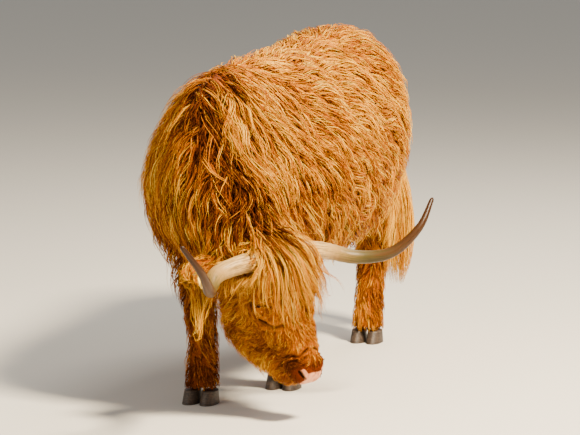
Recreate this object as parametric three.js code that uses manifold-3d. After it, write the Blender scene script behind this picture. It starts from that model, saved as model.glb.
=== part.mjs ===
// A Highland cow grazing: a still, life-size model parted into the pieces that a person would name.
// Millimetres, +Z up. The cow faces -Y, its left side is +X, and it stands on the plane z = 0.
// Every solid of flesh reaches to the tips of the coat. Hooves, horns and eyes are bare.

import * as THREE from "three";
import { mergeVertices } from "three/addons/utils/BufferGeometryUtils.js";
import Module from "manifold-3d";

const wasm = await Module();
wasm.setup();

// ---------------------------------------------------------------------------
// Driving dimensions
// ---------------------------------------------------------------------------

const GAP = 0.3; // clearance between touching pieces

// The body along its length, from the breast to the rump. y = 0 is the middle of the barrel.
const WITHERS_HEIGHT = 1140;
const HIP_HEIGHT = 1196;
const BARREL_HALF_WIDTH = 384;
const BELLY_HEIGHT = 362;
const BREAST_Y = -735;
const SHOULDER_PLANE_Y = -560; // a point on the plane between neck and shoulders
const SHOULDER_PLANE_Z = 900;
const SHOULDER_SLANT = 22; // degrees that the plane leans, its foot ahead of its top
const RUMP_Y = 868;

// The head hangs at the end of the neck, swung to the cow's left.
const HEAD_ORIGIN = new THREE.Vector3(318, -748, 542); // between the horns, on the forehead's plane
const HEAD_SWING = 65; // degrees to the left of straight ahead
const HEAD_DROP = 66; // degrees that the face points below level
const HEAD_ROLL = 2.4; // degrees that the poll leans to the cow's right
const FACE_LENGTH = 425; // from the line of the horns to the tip of the nose
const SKULL_HALF_WIDTH = 124; // at the forehead, over the coat
const MUZZLE_HALF_WIDTH = 66;
const MUZZLE_CUT_Y = -345; // where the muzzle is parted from the face

const EYE = { radius: 18, x: 105, y: -150, z: -80 };
const HORN_ROOT_RADIUS = 34;
const HORN_TIP_RADIUS = 7;

const TAG = { width: 40, height: 62, neck: 14, thickness: 3, turn: 32, at: [-302, 8, -88] };

const SWITCH_TOP = 720; // height where the tail's long brush begins

const HOOF_HEIGHT = 46;
const HOOF_LENGTH_FRONT = 66; // sole ahead of the leg's axis
const HOOF_LENGTH_BACK = 46;
const CLAW_HALF_WIDTH = 28;
const CLEFT_HALF_WIDTH = 3;

// Where each foot stands, [x, y].
const FEET = {
  fore_left: [140, -250],
  fore_right: [-28, -590],
  hind_left: [122, 700],
  hind_right: [-135, 560],
};

// ---------------------------------------------------------------------------
// Colours and finishes
// ---------------------------------------------------------------------------

const finish = (color, roughness) => new THREE.MeshStandardMaterial({ color, roughness, metalness: 0 });
const COAT = finish("#c4701f", 0.85);
const FACE_COAT = finish("#b05c18", 0.85);
const LEG_COAT = finish("#9c4a12", 0.85);
const PALE_HAIR = finish("#dfa04c", 0.8);
const MUZZLE_SKIN = finish("#d9a183", 0.55);
const HORN = finish("#cdbfa6", 0.4);
const HOOF = finish("#3b3029", 0.5);
const EYE_BROWN = finish("#1d0f08", 0.08);
const TAG_PLASTIC = finish("#f2c20c", 0.45);

// ---------------------------------------------------------------------------
// Solids from lofts
// ---------------------------------------------------------------------------

const UP = [0, 0, 1];
const FORWARD = [0, -1, 0];

/** A signed power, which squares off or peaks a circle's sine and cosine. */
const power = (value, exponent) => Math.sign(value) * Math.abs(value) ** exponent;

/** A smooth curve through triples of numbers, read with getPoint at equal steps per triple. */
function through(triples) {
  const points = triples.map((triple) => new THREE.Vector3(...triple));
  return new THREE.CatmullRomCurve3(points, false, "catmullrom", 0.5);
}

/**
 * A closed body lofted along a path.
 * stations: [{ at: [x, y, z], half, up, down, crest, peak, keel }], where half is the half-width, and up
 * and down are the heights above and below the path, towards and away from the crest direction. peak and
 * keel are the exponents of the upper and lower outline: 2 is round, less is peaked and more is boxy.
 * grow: how far the whole body is swollen, for cutting a neighbour clear of it.
 */
function loft(stations, { around = 20, along = 16, peak = 2, keel = 2, crest = UP, grow = 0 } = {}) {
  const path = through(stations.map((s) => s.at));
  const sizes = through(stations.map((s) => [s.half, s.up, s.down]));
  const outlines = through(stations.map((s) => [s.peak ?? peak, s.keel ?? keel, 0]));
  const crests = through(stations.map((s) => s.crest ?? crest));
  const vertices = [];
  for (let i = 0; i <= along; i++) {
    const t = i / along;
    const size = sizes.getPoint(t).addScalar(grow);
    const tangent = path.getTangent(t);
    const centre = path.getPoint(t);
    if (i === 0) centre.addScaledVector(tangent, -grow);
    if (i === along) centre.addScaledVector(tangent, grow);
    const outline = outlines.getPoint(t);
    const upward = crests.getPoint(t).projectOnPlane(tangent).normalize();
    const sideways = new THREE.Vector3().crossVectors(upward, tangent);
    for (let j = 0; j < around; j++) {
      const angle = (2 * Math.PI * j) / around;
      const [cosine, sine] = [Math.cos(angle), Math.sin(angle)];
      const exponent = 2 / (sine > 0 ? outline.x : outline.y);
      const side = size.x * power(cosine, exponent);
      const height = (sine > 0 ? size.y : size.z) * power(sine, exponent);
      vertices.push(centre.clone().addScaledVector(sideways, side).addScaledVector(upward, height));
    }
  }
  const start = vertices.push(path.getPoint(0).addScaledVector(path.getTangent(0), -grow)) - 1;
  const end = vertices.push(path.getPoint(1).addScaledVector(path.getTangent(1), grow)) - 1;
  const faces = [];
  const last = along * around;
  for (let j = 0; j < around; j++) {
    const next = (j + 1) % around;
    faces.push(start, next, j, end, last + j, last + next);
    for (let i = 0; i < along; i++) {
      const [near, far] = [i * around, (i + 1) * around];
      faces.push(near + j, near + next, far + next, near + j, far + next, far + j);
    }
  }
  return new THREE.BufferGeometry().setFromPoints(vertices).setIndex(faces);
}

/** The manifold-3d solid of a closed geometry. */
function solid(geometry) {
  const bare = geometry.clone();
  bare.deleteAttribute("normal");
  bare.deleteAttribute("uv");
  const merged = mergeVertices(bare, 1e-3);
  const mesh = new wasm.Mesh({
    numProp: 3,
    vertProperties: merged.attributes.position.array,
    triVerts: new Uint32Array(merged.index.array),
  });
  return new wasm.Manifold(mesh);
}

/** The geometry of a manifold-3d solid. */
function geometryOf(manifold) {
  const { vertProperties, triVerts } = manifold.getMesh();
  const geometry = new THREE.BufferGeometry();
  geometry.setAttribute("position", new THREE.BufferAttribute(vertProperties, 3));
  geometry.setIndex(new THREE.BufferAttribute(triVerts, 1));
  geometry.computeVertexNormals();
  return geometry;
}

/** The largest single body of a solid, without the slivers that a cut can leave. */
const mainBody = (manifold) => manifold.decompose().sort((a, b) => b.volume() - a.volume())[0];

/** A geometry with every one of the cutters taken away from it. */
function cut(geometry, ...cutters) {
  const left = cutters.reduce((rest, cutter) => rest.subtract(solid(cutter)), solid(geometry));
  return geometryOf(mainBody(left));
}

/** A box from its lowest to its highest corner. */
function slab(low, high) {
  const size = high.map((value, i) => value - low[i]);
  const middle = high.map((value, i) => (value + low[i]) / 2);
  return new THREE.BoxGeometry(...size).translate(...middle);
}

/** Mirrors a list of stations to the other side of the body. */
const mirrored = (stations) =>
  stations.map((s) => ({ ...s, at: [-s.at[0], s.at[1], s.at[2]] }));

/** Adds a named piece to a group. */
function piece(group, name, geometry, material) {
  const mesh = new THREE.Mesh(geometry, material);
  mesh.name = name;
  group.add(mesh);
  return mesh;
}

// ---------------------------------------------------------------------------
// Trunk
// ---------------------------------------------------------------------------

/**
 * One section of the trunk, from its sideways bend and its heights above the floor. level is the share of
 * its height at which it is widest.
 */
function trunkSection(y, bend, top, bottom, half, peak, level = 0.45) {
  const middle = bottom + (top - bottom) * level;
  return { at: [bend, y, middle], half, up: top - middle, down: middle - bottom, peak };
}

const TRUNK = [
  trunkSection(BREAST_Y, 20, 800, 540, 60, 1.8),
  trunkSection(-685, 18, 930, 450, 160, 1.6),
  trunkSection(-590, 14, 1122, 392, 250, 1.48, 0.42),
  trunkSection(-440, 8, WITHERS_HEIGHT, 370, 316, 1.42, 0.444),
  trunkSection(-230, 2, 1140, BELLY_HEIGHT, 368, 1.55),
  trunkSection(0, 0, 1142, BELLY_HEIGHT - 10, BARREL_HALF_WIDTH - 4, 1.62),
  trunkSection(230, 0, 1156, BELLY_HEIGHT - 2, BARREL_HALF_WIDTH - 6, 1.68),
  trunkSection(450, 0, HIP_HEIGHT - 12, 430, 356, 1.76, 0.47),
  trunkSection(640, 0, HIP_HEIGHT - 2, 510, 312, 2.1, 0.495),
  trunkSection(775, 0, HIP_HEIGHT - 14, 590, 258, 2.15, 0.475),
  trunkSection(845, 0, 1104, 672, 178, 2, 0.465),
  trunkSection(RUMP_Y, 0, 1000, 758, 84, 2, 0.48),
];
const trunkLoft = (grow) => loft(TRUNK, { around: 24, along: 22, keel: 2.15, grow });

// ---------------------------------------------------------------------------
// Head: modelled level and straight ahead, then swung into place as a group.
// In the head's frame the nose points along -y and the forehead faces +z.
// ---------------------------------------------------------------------------

const headGroup = new THREE.Group();
headGroup.position.copy(HEAD_ORIGIN);
headGroup.rotateZ(THREE.MathUtils.degToRad(HEAD_SWING));
headGroup.rotateX(THREE.MathUtils.degToRad(HEAD_DROP));
headGroup.rotateZ(THREE.MathUtils.degToRad(HEAD_ROLL));
headGroup.updateMatrix();

/** One section of the head: how far along the face, its half-width, and its brow and underside levels. */
const headSection = (y, half, brow, under) => {
  const middle = (brow + under) / 2;
  return { at: [0, y, middle], half, up: brow - middle, down: middle - under };
};

const SKULL = [
  headSection(78, 62, -25, -140),
  headSection(45, 104, 6, -168),
  headSection(-10, SKULL_HALF_WIDTH, 17, -182),
  headSection(-90, SKULL_HALF_WIDTH + 3, 14, -192),
  headSection(-165, SKULL_HALF_WIDTH - 6, 4, -190),
  headSection(-240, 90, -6, -168),
  headSection(-305, MUZZLE_HALF_WIDTH, -8, -142),
  headSection(-352, MUZZLE_HALF_WIDTH + 2, -14, -130),
  headSection(-388, MUZZLE_HALF_WIDTH - 4, -28, -120),
  headSection(-412, 48, -46, -106),
  headSection(-FACE_LENGTH, 24, -62, -90),
];
const skullLoft = (grow) => loft(SKULL, { around: 20, along: 14, peak: 2.5, keel: 2.2, grow });

const JAW = [
  headSection(-10, 84, -100, -240),
  headSection(-70, 114, -96, -290),
  headSection(-150, 118, -90, -306),
  headSection(-230, 96, -80, -282),
  headSection(-305, 66, -75, -228),
  headSection(-365, 50, -76, -182),
  headSection(-400, 32, -90, -150),
];
const jawLoft = (grow) => loft(JAW, { around: 14, along: 10, peak: 2.4, keel: 2.8, grow });

/** The ball of the eye on one side, or the socket that clears it. */
const eyeball = (side, grow) =>
  new THREE.SphereGeometry(EYE.radius + grow, 12, 8).translate(side * EYE.x, EYE.y, EYE.z);

/** The dish through the coat that bares the eye, opening outwards and forwards. */
const eyeDish = (side) =>
  new THREE.SphereGeometry(1, 12, 8)
    .scale(26, 34, 26)
    .translate(side * (EYE.x + 22), EYE.y, EYE.z + 10);

/** The hollow of a nostril: a slanted comma in the front of the muzzle. */
const nostril = (side) =>
  new THREE.SphereGeometry(1, 10, 6)
    .scale(8, 22, 14)
    .rotateZ(side * -0.55)
    .translate(side * 44, -395, -46);

const HORN_PATH = [
  { at: [60, -2, -42] },
  { at: [110, -3, -36] },
  { at: [172, -4, -36] },
  { at: [259, -17, -50] },
  { at: [339, -59, -16] },
  { at: [419, -81, 62] },
  { at: [502, -33, 138] },
  { at: [578, 52, 172] },
];
/** Horn sections: round, keeping their girth to the bend and then tapering to a blunt tip. */
const HORN_STATIONS = HORN_PATH.map(({ at }, i) => {
  const share = i / (HORN_PATH.length - 1);
  const radius = THREE.MathUtils.lerp(HORN_ROOT_RADIUS, HORN_TIP_RADIUS, share ** 1.7);
  return { at, half: radius, up: radius, down: radius };
});
const hornLoft = (side, grow) =>
  loft(side > 0 ? HORN_STATIONS : mirrored(HORN_STATIONS), { around: 10, along: 16, grow });

/** An ear held out sideways and a little back, broad across the face and fringed below. */
const EAR = [
  { at: [100, 10, -94], half: 20, up: 22, down: 24 },
  { at: [146, 18, -104], half: 24, up: 32, down: 38 },
  { at: [200, 26, -114], half: 23, up: 40, down: 56 },
  { at: [260, 28, -123], half: 18, up: 36, down: 64 },
  { at: [310, 24, -127], half: 12, up: 24, down: 52 },
  { at: [338, 16, -128], half: 6, up: 10, down: 26 },
];

/** The ear on one side. The left ear is held further back than the right. */
function earStations(side) {
  if (side < 0) return mirrored(EAR);
  const root = EAR[0].at[0];
  return EAR.map(({ at: [x, y, z], ...size }) => ({ ...size, at: [x * 0.9, y + 6, z - (x - root) * 0.28] }));
}
const earLoft = (side, grow) =>
  loft(earStations(side), { around: 12, along: 8, crest: [0, 1, 0], grow });

/** A blank plate with a narrow neck, on a stud through the right ear. */
function earTag() {
  const { width, height, neck, thickness } = TAG;
  const outline = new THREE.Shape([
    [-neck / 2, 0],
    [-neck / 2, -height * 0.3],
    [-width / 2, -height * 0.45],
    [-width / 2, -height * 0.93],
    [-width * 0.4, -height],
    [width * 0.4, -height],
    [width / 2, -height * 0.93],
    [width / 2, -height * 0.45],
    [neck / 2, -height * 0.3],
    [neck / 2, 0],
  ].map(([x, y]) => new THREE.Vector2(x, y)));
  const plate = new THREE.ExtrudeGeometry(outline, { depth: thickness, bevelEnabled: false })
    .translate(0, 8, -thickness / 2)
    .rotateY(THREE.MathUtils.degToRad(TAG.turn));
  const stud = new THREE.CylinderGeometry(3.5, 3.5, 34, 10).rotateX(Math.PI / 2).translate(0, 0, -15);
  return geometryOf(solid(plate).add(solid(stud))).translate(...TAG.at);
}

/** The forelock: a mop of long hair from the poll over the forehead, eyes and cheeks. */
const FORELOCK = [
  { at: [0, 66, -34], half: 48, up: 34, down: 20 },
  { at: [0, 34, -14], half: 92, up: 48, down: 50 },
  { at: [8, -30, -6], half: 122, up: 52, down: 70 },
  { at: [16, -100, -10], half: 122, up: 54, down: 74 },
  { at: [22, -165, -20], half: 112, up: 52, down: 70 },
  { at: [26, -220, -30], half: 88, up: 42, down: 50 },
  { at: [28, -262, -36], half: 44, up: 24, down: 26 },
];
const forelockLoft = (grow) => loft(FORELOCK, { around: 16, along: 10, peak: 2.2, keel: 2, grow });

function buildHead() {
  const sockets = [1, -1].map((side) => eyeball(side, GAP));
  const dishes = [1, -1].map(eyeDish);
  const nostrils = [1, -1].map(nostril);
  const wide = 400;
  const ahead = slab([-wide, -wide * 2, -wide], [wide, MUZZLE_CUT_Y + GAP, wide]);
  const behind = slab([-wide, MUZZLE_CUT_Y, -wide], [wide, wide, wide]);
  piece(headGroup, "head", cut(skullLoft(0), ...sockets, ...dishes, ahead), FACE_COAT);
  piece(headGroup, "muzzle", cut(skullLoft(0), ...nostrils, behind), MUZZLE_SKIN);
  piece(headGroup, "lower_jaw", cut(jawLoft(0), skullLoft(GAP)), FACE_COAT);
  for (const [label, side] of [["left", 1], ["right", -1]]) {
    piece(headGroup, `eye_${label}`, eyeball(side, 0), EYE_BROWN);
    piece(headGroup, `horn_${label}`, cut(hornLoft(side, 0), skullLoft(GAP)), HORN);
    piece(headGroup, `ear_${label}`, cut(earLoft(side, 0), skullLoft(GAP), hornLoft(side, GAP)), FACE_COAT);
  }
  piece(headGroup, "ear_tag", cut(earTag(), earLoft(-1, GAP)), TAG_PLASTIC);
  const around = [1, -1].flatMap((side) => [
    hornLoft(side, GAP),
    earLoft(side, GAP),
    eyeDish(side),
    eyeball(side, GAP),
  ]);
  const mop = cut(forelockLoft(0), skullLoft(GAP), jawLoft(GAP), ...around);
  piece(headGroup, "forelock", mop, PALE_HAIR);
}

// ---------------------------------------------------------------------------
// Neck: from the shoulders down to the nape, turning with the head
// ---------------------------------------------------------------------------

const NECK = [
  { at: [10, -430, 800], half: 238, up: 296, down: 330, crest: [0, -0.1, 1], peak: 1.45 },
  { at: [18, -560, 782], half: 232, up: 306, down: 326, crest: [0, -0.45, 0.9], peak: 1.5 },
  { at: [64, -650, 694], half: 212, up: 236, down: 276, crest: [-0.05, -0.75, 0.66], peak: 1.6 },
  { at: [132, -690, 602], half: 184, up: 176, down: 232, crest: [0.1, -0.8, 0.6], peak: 1.8 },
  { at: [200, -700, 535], half: 150, up: 130, down: 204, crest: [0.4, -0.65, 0.64] },
  { at: [246, -706, 492], half: 112, up: 92, down: 168, crest: [0.7, -0.5, 0.5] },
];
const neckLoft = (grow) => loft(NECK, { around: 20, along: 13, peak: 1.85, keel: 2, grow });

/** Everything ahead of the slanting plane between neck and shoulders, moved forwards by a margin. */
function aheadOfShoulders(margin) {
  const reach = 3000;
  return new THREE.BoxGeometry(reach, reach, reach)
    .translate(0, -reach / 2 - margin, 0)
    .rotateX(THREE.MathUtils.degToRad(-SHOULDER_SLANT))
    .translate(0, SHOULDER_PLANE_Y, SHOULDER_PLANE_Z);
}

// ---------------------------------------------------------------------------
// Legs and hooves
// ---------------------------------------------------------------------------

/**
 * A leg's stations from the trunk to the coronet. joints: [[dx, dy, z, half, front, back]], where dx and
 * dy are offsets from the foot, mirrored for the right side.
 */
const legStations = ([footX, footY], side, joints) =>
  joints.map(([dx, dy, z, half, front, back]) => ({
    at: [footX + side * dx, footY + dy, z],
    half,
    up: front,
    down: back,
  }));

const FORE_BACKSET = [
  [56, -130, 760, 112, 150, 150],
  [50, -122, 620, 108, 140, 142],
  [40, -96, 500, 88, 106, 114],
  [24, -72, 400, 68, 78, 92],
  [10, -58, 300, 60, 66, 74],
  [2, -28, 200, 52, 56, 70],
  [0, -6, 110, 58, 60, 76],
  [0, 0, HOOF_HEIGHT - 20, 62, 64, 74],
];
const FORE_STRIDE = [
  [118, 190, 760, 112, 150, 150],
  [108, 168, 620, 108, 140, 142],
  [84, 130, 500, 88, 106, 116],
  [48, 84, 400, 68, 78, 94],
  [22, 44, 300, 60, 64, 76],
  [8, 28, 200, 52, 55, 72],
  [2, 10, 110, 58, 60, 78],
  [0, 0, HOOF_HEIGHT - 20, 62, 64, 76],
];
/** A hind leg whose hip is `reach` behind the foot, or ahead of it where reach is negative. */
const hindJoints = (reach) => [
  [40, -140 + reach, 900, 140, 200, 190],
  [40, -130 + reach, 760, 140, 206, 204],
  [36, -104 + reach * 0.8, 640, 124, 188, 186],
  [22, -36 + reach * 0.6, 530, 92, 130, 144],
  [8, 36 + reach * 0.3, 430, 72, 82, 122],
  [2, 44 + reach * 0.15, 330, 62, 66, 106],
  [0, 28, 220, 55, 58, 90],
  [0, 8, 120, 60, 60, 82],
  [0, 0, HOOF_HEIGHT - 20, 64, 64, 76],
];

const LEGS = {
  fore_left: { side: 1, joints: FORE_BACKSET, node: "foreleg_left" },
  fore_right: { side: -1, joints: FORE_STRIDE, node: "foreleg_right" },
  hind_left: { side: 1, joints: hindJoints(0), node: "hindleg_left" },
  hind_right: { side: -1, joints: hindJoints(110), node: "hindleg_right" },
};
const LEG_AROUND = 14;
const LEG_ALONG = 15;

/** One claw of a cloven hoof, from the coronet to its flat sole. */
function claw([footX, footY], outward) {
  const x = footX + outward * (CLEFT_HALF_WIDTH + CLAW_HALF_WIDTH);
  const ring = (z, half, front, back) => ({ at: [x, footY, z], half, up: front, down: back });
  const stations = [
    ring(HOOF_HEIGHT - GAP, CLAW_HALF_WIDTH - 4, 46, 42),
    ring(HOOF_HEIGHT * 0.5, CLAW_HALF_WIDTH - 1, 57, HOOF_LENGTH_BACK - 2),
    ring(0, CLAW_HALF_WIDTH, HOOF_LENGTH_FRONT, HOOF_LENGTH_BACK),
  ];
  return loft(stations, { around: 10, along: 2, peak: 1.8, keel: 2.6, crest: FORWARD });
}

function buildLegs(body) {
  const hooves = slab([-2000, -2000, -200], [2000, 2000, HOOF_HEIGHT]);
  for (const [foot, { side, joints, node }] of Object.entries(LEGS)) {
    const stations = legStations(FEET[foot], side, joints);
    const leg = loft(stations, { around: LEG_AROUND, along: LEG_ALONG, crest: FORWARD });
    piece(body, node, cut(leg, hooves, trunkLoft(GAP), trunkLoft(0), neckLoft(GAP)), LEG_COAT);
    piece(body, `hoof_${foot}_outer`, claw(FEET[foot], side), HOOF);
    piece(body, `hoof_${foot}_inner`, claw(FEET[foot], -side), HOOF);
  }
}

// ---------------------------------------------------------------------------
// Tail
// ---------------------------------------------------------------------------

const TAIL = [
  { at: [0, 770, 1124], half: 54, up: 46, down: 50 },
  { at: [4, 858, 1094], half: 50, up: 44, down: 46 },
  { at: [26, 912, 1000], half: 44, up: 40, down: 42 },
  { at: [72, 926, 860], half: 40, up: 38, down: 38 },
  { at: [118, 920, 730], half: 40, up: 37, down: 36 },
  { at: [150, 914, 600], half: 54, up: 42, down: 42 },
  { at: [172, 908, 450], half: 66, up: 48, down: 48 },
  { at: [176, 902, 300], half: 54, up: 40, down: 40 },
  { at: [172, 898, 190], half: 20, up: 16, down: 16 },
];

function buildTail(body) {
  const legCutters = ["hind_left", "hind_right"].map((foot) =>
    loft(legStations(FEET[foot], LEGS[foot].side, LEGS[foot].joints), {
      around: LEG_AROUND,
      along: LEG_ALONG,
      crest: FORWARD,
      grow: GAP,
    }),
  );
  const tail = loft(TAIL, { around: 12, along: 16, crest: [0, 1, 0.1] });
  const wide = 2000;
  const above = slab([-wide, -wide, SWITCH_TOP - GAP], [wide, wide, wide]);
  const below = slab([-wide, -wide, -wide], [wide, wide, SWITCH_TOP]);
  piece(body, "tail", cut(tail, trunkLoft(GAP), below, ...legCutters), COAT);
  piece(body, "tail_switch", cut(tail, above, ...legCutters), PALE_HAIR);
}

// ---------------------------------------------------------------------------
// The whole cow
// ---------------------------------------------------------------------------

const body = new THREE.Group();
buildHead();
const headCutters = [
  skullLoft(GAP),
  jawLoft(GAP),
  forelockLoft(GAP),
  ...[1, -1].flatMap((side) => [earLoft(side, GAP), hornLoft(side, GAP)]),
].map((geometry) => geometry.applyMatrix4(headGroup.matrix));
const torso = geometryOf(solid(trunkLoft(0)).add(solid(neckLoft(0))));
piece(body, "trunk", cut(torso, aheadOfShoulders(0), ...headCutters), COAT);
const front = geometryOf(solid(torso).intersect(solid(aheadOfShoulders(GAP))));
piece(body, "neck", cut(front, ...headCutters), COAT);
buildLegs(body);
buildTail(body);
body.add(headGroup);

// The origin is on the floor, under the middle of the cow's footprint box.
const footprint = new THREE.Box3().setFromObject(body, true);
const middle = footprint.getCenter(new THREE.Vector3());
body.position.set(-middle.x, -middle.y, 0);

const cow = new THREE.Group();
cow.add(body);

export default cow;
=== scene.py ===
"""Looks of a grazing Highland cow: skin, coat, horns, hooves, eyes and ear tag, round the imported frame.

Everything is in metres in the frame's axes. Two more sets of axes are read from the frame's nodes:
the cow's (x to its left from the midline, y backwards, z up from the floor) and the head's (x to its
left, y from the nose to the poll, z out of the forehead).
"""

from __future__ import annotations

import logging
import math
from dataclasses import dataclass, field, fields
from enum import Enum
from functools import partial
from typing import Callable, ClassVar

import bmesh
import bpy
import numpy as np
from bpy.types import Material, Mesh, Node, NodeSocket, NodeTree, Object
from mathutils import Matrix, Vector
from mathutils.bvhtree import BVHTree


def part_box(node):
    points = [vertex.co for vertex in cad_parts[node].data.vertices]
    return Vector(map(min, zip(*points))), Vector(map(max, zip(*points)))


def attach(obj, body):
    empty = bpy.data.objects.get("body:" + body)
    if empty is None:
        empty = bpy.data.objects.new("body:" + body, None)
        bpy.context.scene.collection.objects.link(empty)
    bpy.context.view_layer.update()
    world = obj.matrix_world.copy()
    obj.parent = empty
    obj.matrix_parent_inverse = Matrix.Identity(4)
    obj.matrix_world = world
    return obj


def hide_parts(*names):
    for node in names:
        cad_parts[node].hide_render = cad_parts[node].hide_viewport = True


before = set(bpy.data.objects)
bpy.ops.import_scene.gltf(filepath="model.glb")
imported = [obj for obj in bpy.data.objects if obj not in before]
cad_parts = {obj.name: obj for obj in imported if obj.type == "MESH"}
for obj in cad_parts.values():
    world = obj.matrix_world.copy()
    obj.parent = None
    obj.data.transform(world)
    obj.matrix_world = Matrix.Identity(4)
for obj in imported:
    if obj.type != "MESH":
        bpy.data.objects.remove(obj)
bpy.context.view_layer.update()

log = logging.getLogger("highland_cow")
Array = np.ndarray
Point = tuple[float, float, float]
MM = 0.001
SEED = 20417
BAKE_MAP = "OFBake"
BODY = "root"
SIDES = {"left": 1, "right": -1}


# ---- Small tools ----


def linear(hex_colour: str) -> tuple[float, float, float, float]:
    """Turns an sRGB hex colour into linear RGBA.

    Args:
        hex_colour: A colour such as "#c8741f".

    Returns:
        Linear red, green, blue and an alpha of 1.
    """
    channels = [int(hex_colour[i : i + 2], 16) / 255 for i in (1, 3, 5)]
    bent = [c / 12.92 if c <= 0.04045 else ((c + 0.055) / 1.055) ** 2.4 for c in channels]
    return (*bent, 1.0)


def set_node(node: Node, settings: dict, links: dict) -> Node:
    """Sets a node's values and links its inputs.

    Args:
        node: The node.
        settings: Values by the node's own property name, or by input name or index. An input's hex
            colour becomes linear, and "stops" are a ramp's places with their hex colours.
        links: What goes into each input: a socket, or a node whose first output is meant.

    Returns:
        The same node.
    """
    for key, value in settings.items():
        if key == "stops":
            elements = node.color_ramp.elements
            while len(elements) < len(value):
                elements.new(0.5)
            for element, (place, colour) in zip(elements, value):
                element.position = place
                element.color = linear(colour)
        elif isinstance(key, str) and key in node.bl_rna.properties:
            setattr(node, key, value)
        else:
            node.inputs[key].default_value = linear(value) if isinstance(value, str) else value
    for key, source in links.items():
        socket = source.outputs[0] if isinstance(source, Node) else source
        node.id_data.links.new(socket, node.inputs[key])
    return node


def add_node(tree: NodeTree, kind: str, settings: dict | None = None, links: dict | None = None) -> Node:
    """Adds a shader node, such as "Math", with settings and links as set_node takes them."""
    return set_node(tree.nodes.new(f"ShaderNode{kind}"), settings or {}, links or {})


def read_attribute(add: Callable, name: str) -> tuple[NodeSocket, ...]:
    """Reads a mesh's stored colours in a material.

    Args:
        add: Adds a node to the material.
        name: The attribute's name.

    Returns:
        The sockets of its red, green, blue and alpha.
    """
    stored = add("Attribute", {"attribute_name": name})
    return (*add("SeparateColor", links={"Color": stored}).outputs, stored.outputs["Alpha"])


def new_material(name: str) -> tuple[Material, Node, Callable]:
    """Makes a node material.

    Args:
        name: The material's name.

    Returns:
        The material, its Principled shader, and add_node for its own nodes.
    """
    material = bpy.data.materials.new(name)
    material.use_nodes = True
    tree = material.node_tree
    return material, tree.nodes["Principled BSDF"], partial(add_node, tree)


def read_rows(items: bpy.types.bpy_prop_collection, name: str, width: int, kind: type = float) -> Array:
    """Reads one value of all the vertices, edges or corners of a mesh.

    Args:
        items: The mesh's vertices, edges, corners or triangles.
        name: The value's name.
        width: How many numbers it has.
        kind: The numbers' type.

    Returns:
        One row for each item.
    """
    values = np.empty(len(items) * width, dtype=kind)
    items.foreach_get(name, values)
    return values.reshape(-1, width)


def store_colours(mesh: Mesh, name: str, rgba: Array) -> None:
    """Stores a colour attribute with one row for each vertex."""
    data = mesh.attributes.new(name, "FLOAT_COLOR", "POINT").data
    data.foreach_set("color", rgba.astype(np.float32).ravel())


def smoothstep(low: float | Array, high: float | Array, value: Array) -> Array:
    """Rises smoothly from 0 at low to 1 at high."""
    share = np.clip((value - low) / (high - low), 0, 1)
    return share * share * (3 - 2 * share)


def bell(value: Array, width: float) -> Array:
    """Falls from 1 at 0 to about a third at width on both sides, and on to 0."""
    return np.exp(-((value / width) ** 2))


def span(vectors: Array) -> Array:
    """The lengths of vectors on the last axis."""
    return np.linalg.norm(vectors, axis=-1)


def unit(vectors: Array) -> Array:
    """Scales vectors on the last axis to length 1."""
    return vectors / np.maximum(np.linalg.norm(vectors, axis=-1, keepdims=True), 1e-9)


def dot(a: Array, b: Array) -> Array:
    """Dot product on the last axis, which is kept."""
    return np.sum(a * b, axis=-1, keepdims=True)


def moved(matrix: Matrix, points: Array) -> Array:
    """Applies a matrix to points on the last axis."""
    grid = np.array(matrix)
    return points @ grid[:3, :3].T + grid[:3, 3]


def turned(matrix: Matrix, vectors: Array) -> Array:
    """Applies only a matrix's rotation to vectors on the last axis."""
    return vectors @ np.array(matrix)[:3, :3].T


class Drift:
    """Smooth noise in space: a few sine waves of random headings, from about -1 to 1."""

    def __init__(self, wavelength: float, seed: int, waves: int = 9) -> None:
        """Draws the waves.

        Args:
            wavelength: The mean distance between crests, in metres.
            seed: The random seed.
            waves: How many waves are added up.
        """
        rng = np.random.default_rng(seed)
        headings = unit(rng.normal(size=(waves, 3)))
        self.turns = headings * (2 * math.pi / wavelength) * rng.uniform(0.6, 1.5, (waves, 1))
        self.phases = rng.uniform(0, 2 * math.pi, waves)
        self.gain = math.sqrt(2 / waves) * 0.8

    def __call__(self, points: Array) -> Array:
        """Reads the noise at points on the last axis."""
        return np.sin(points @ self.turns.T + self.phases).sum(axis=-1) * self.gain


@dataclass(frozen=True)
class Stance:
    """How the cow stands and hangs its head, with places in metres and angles in degrees."""

    rump: float = 0.868  # the trunk's end behind the cow's origin
    swing: float = 65.0
    drop: float = 66.0
    roll: float = 2.4
    eye_y: float = -0.150
    eye_z: float = -0.080

    def cow(self) -> Matrix:
        """The cow's axes in the frame, from the trunk's box."""
        low, high = (Vector(corner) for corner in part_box("trunk"))
        return Matrix.Translation(((low.x + high.x) / 2, high.y - self.rump, 0))

    def head(self) -> Matrix:
        """Places the head between the two eyes.

        Returns:
            The head's axes in the frame.
        """
        boxes = [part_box("eye_left"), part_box("eye_right")]
        between = sum((Vector(corner) for box in boxes for corner in box), Vector()) / 4
        turn = (
            Matrix.Rotation(math.radians(self.swing), 4, "Z")
            @ Matrix.Rotation(math.radians(self.drop), 4, "X")
            @ Matrix.Rotation(math.radians(self.roll), 4, "Z")
        )
        origin = between - turn.to_3x3() @ Vector((0, self.eye_y, self.eye_z))
        return Matrix.Translation(origin) @ turn


COW = Stance().cow()
HEAD = Stance().head()
TO_HEAD = HEAD.inverted()


# ---- Meshes from arrays ----


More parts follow.
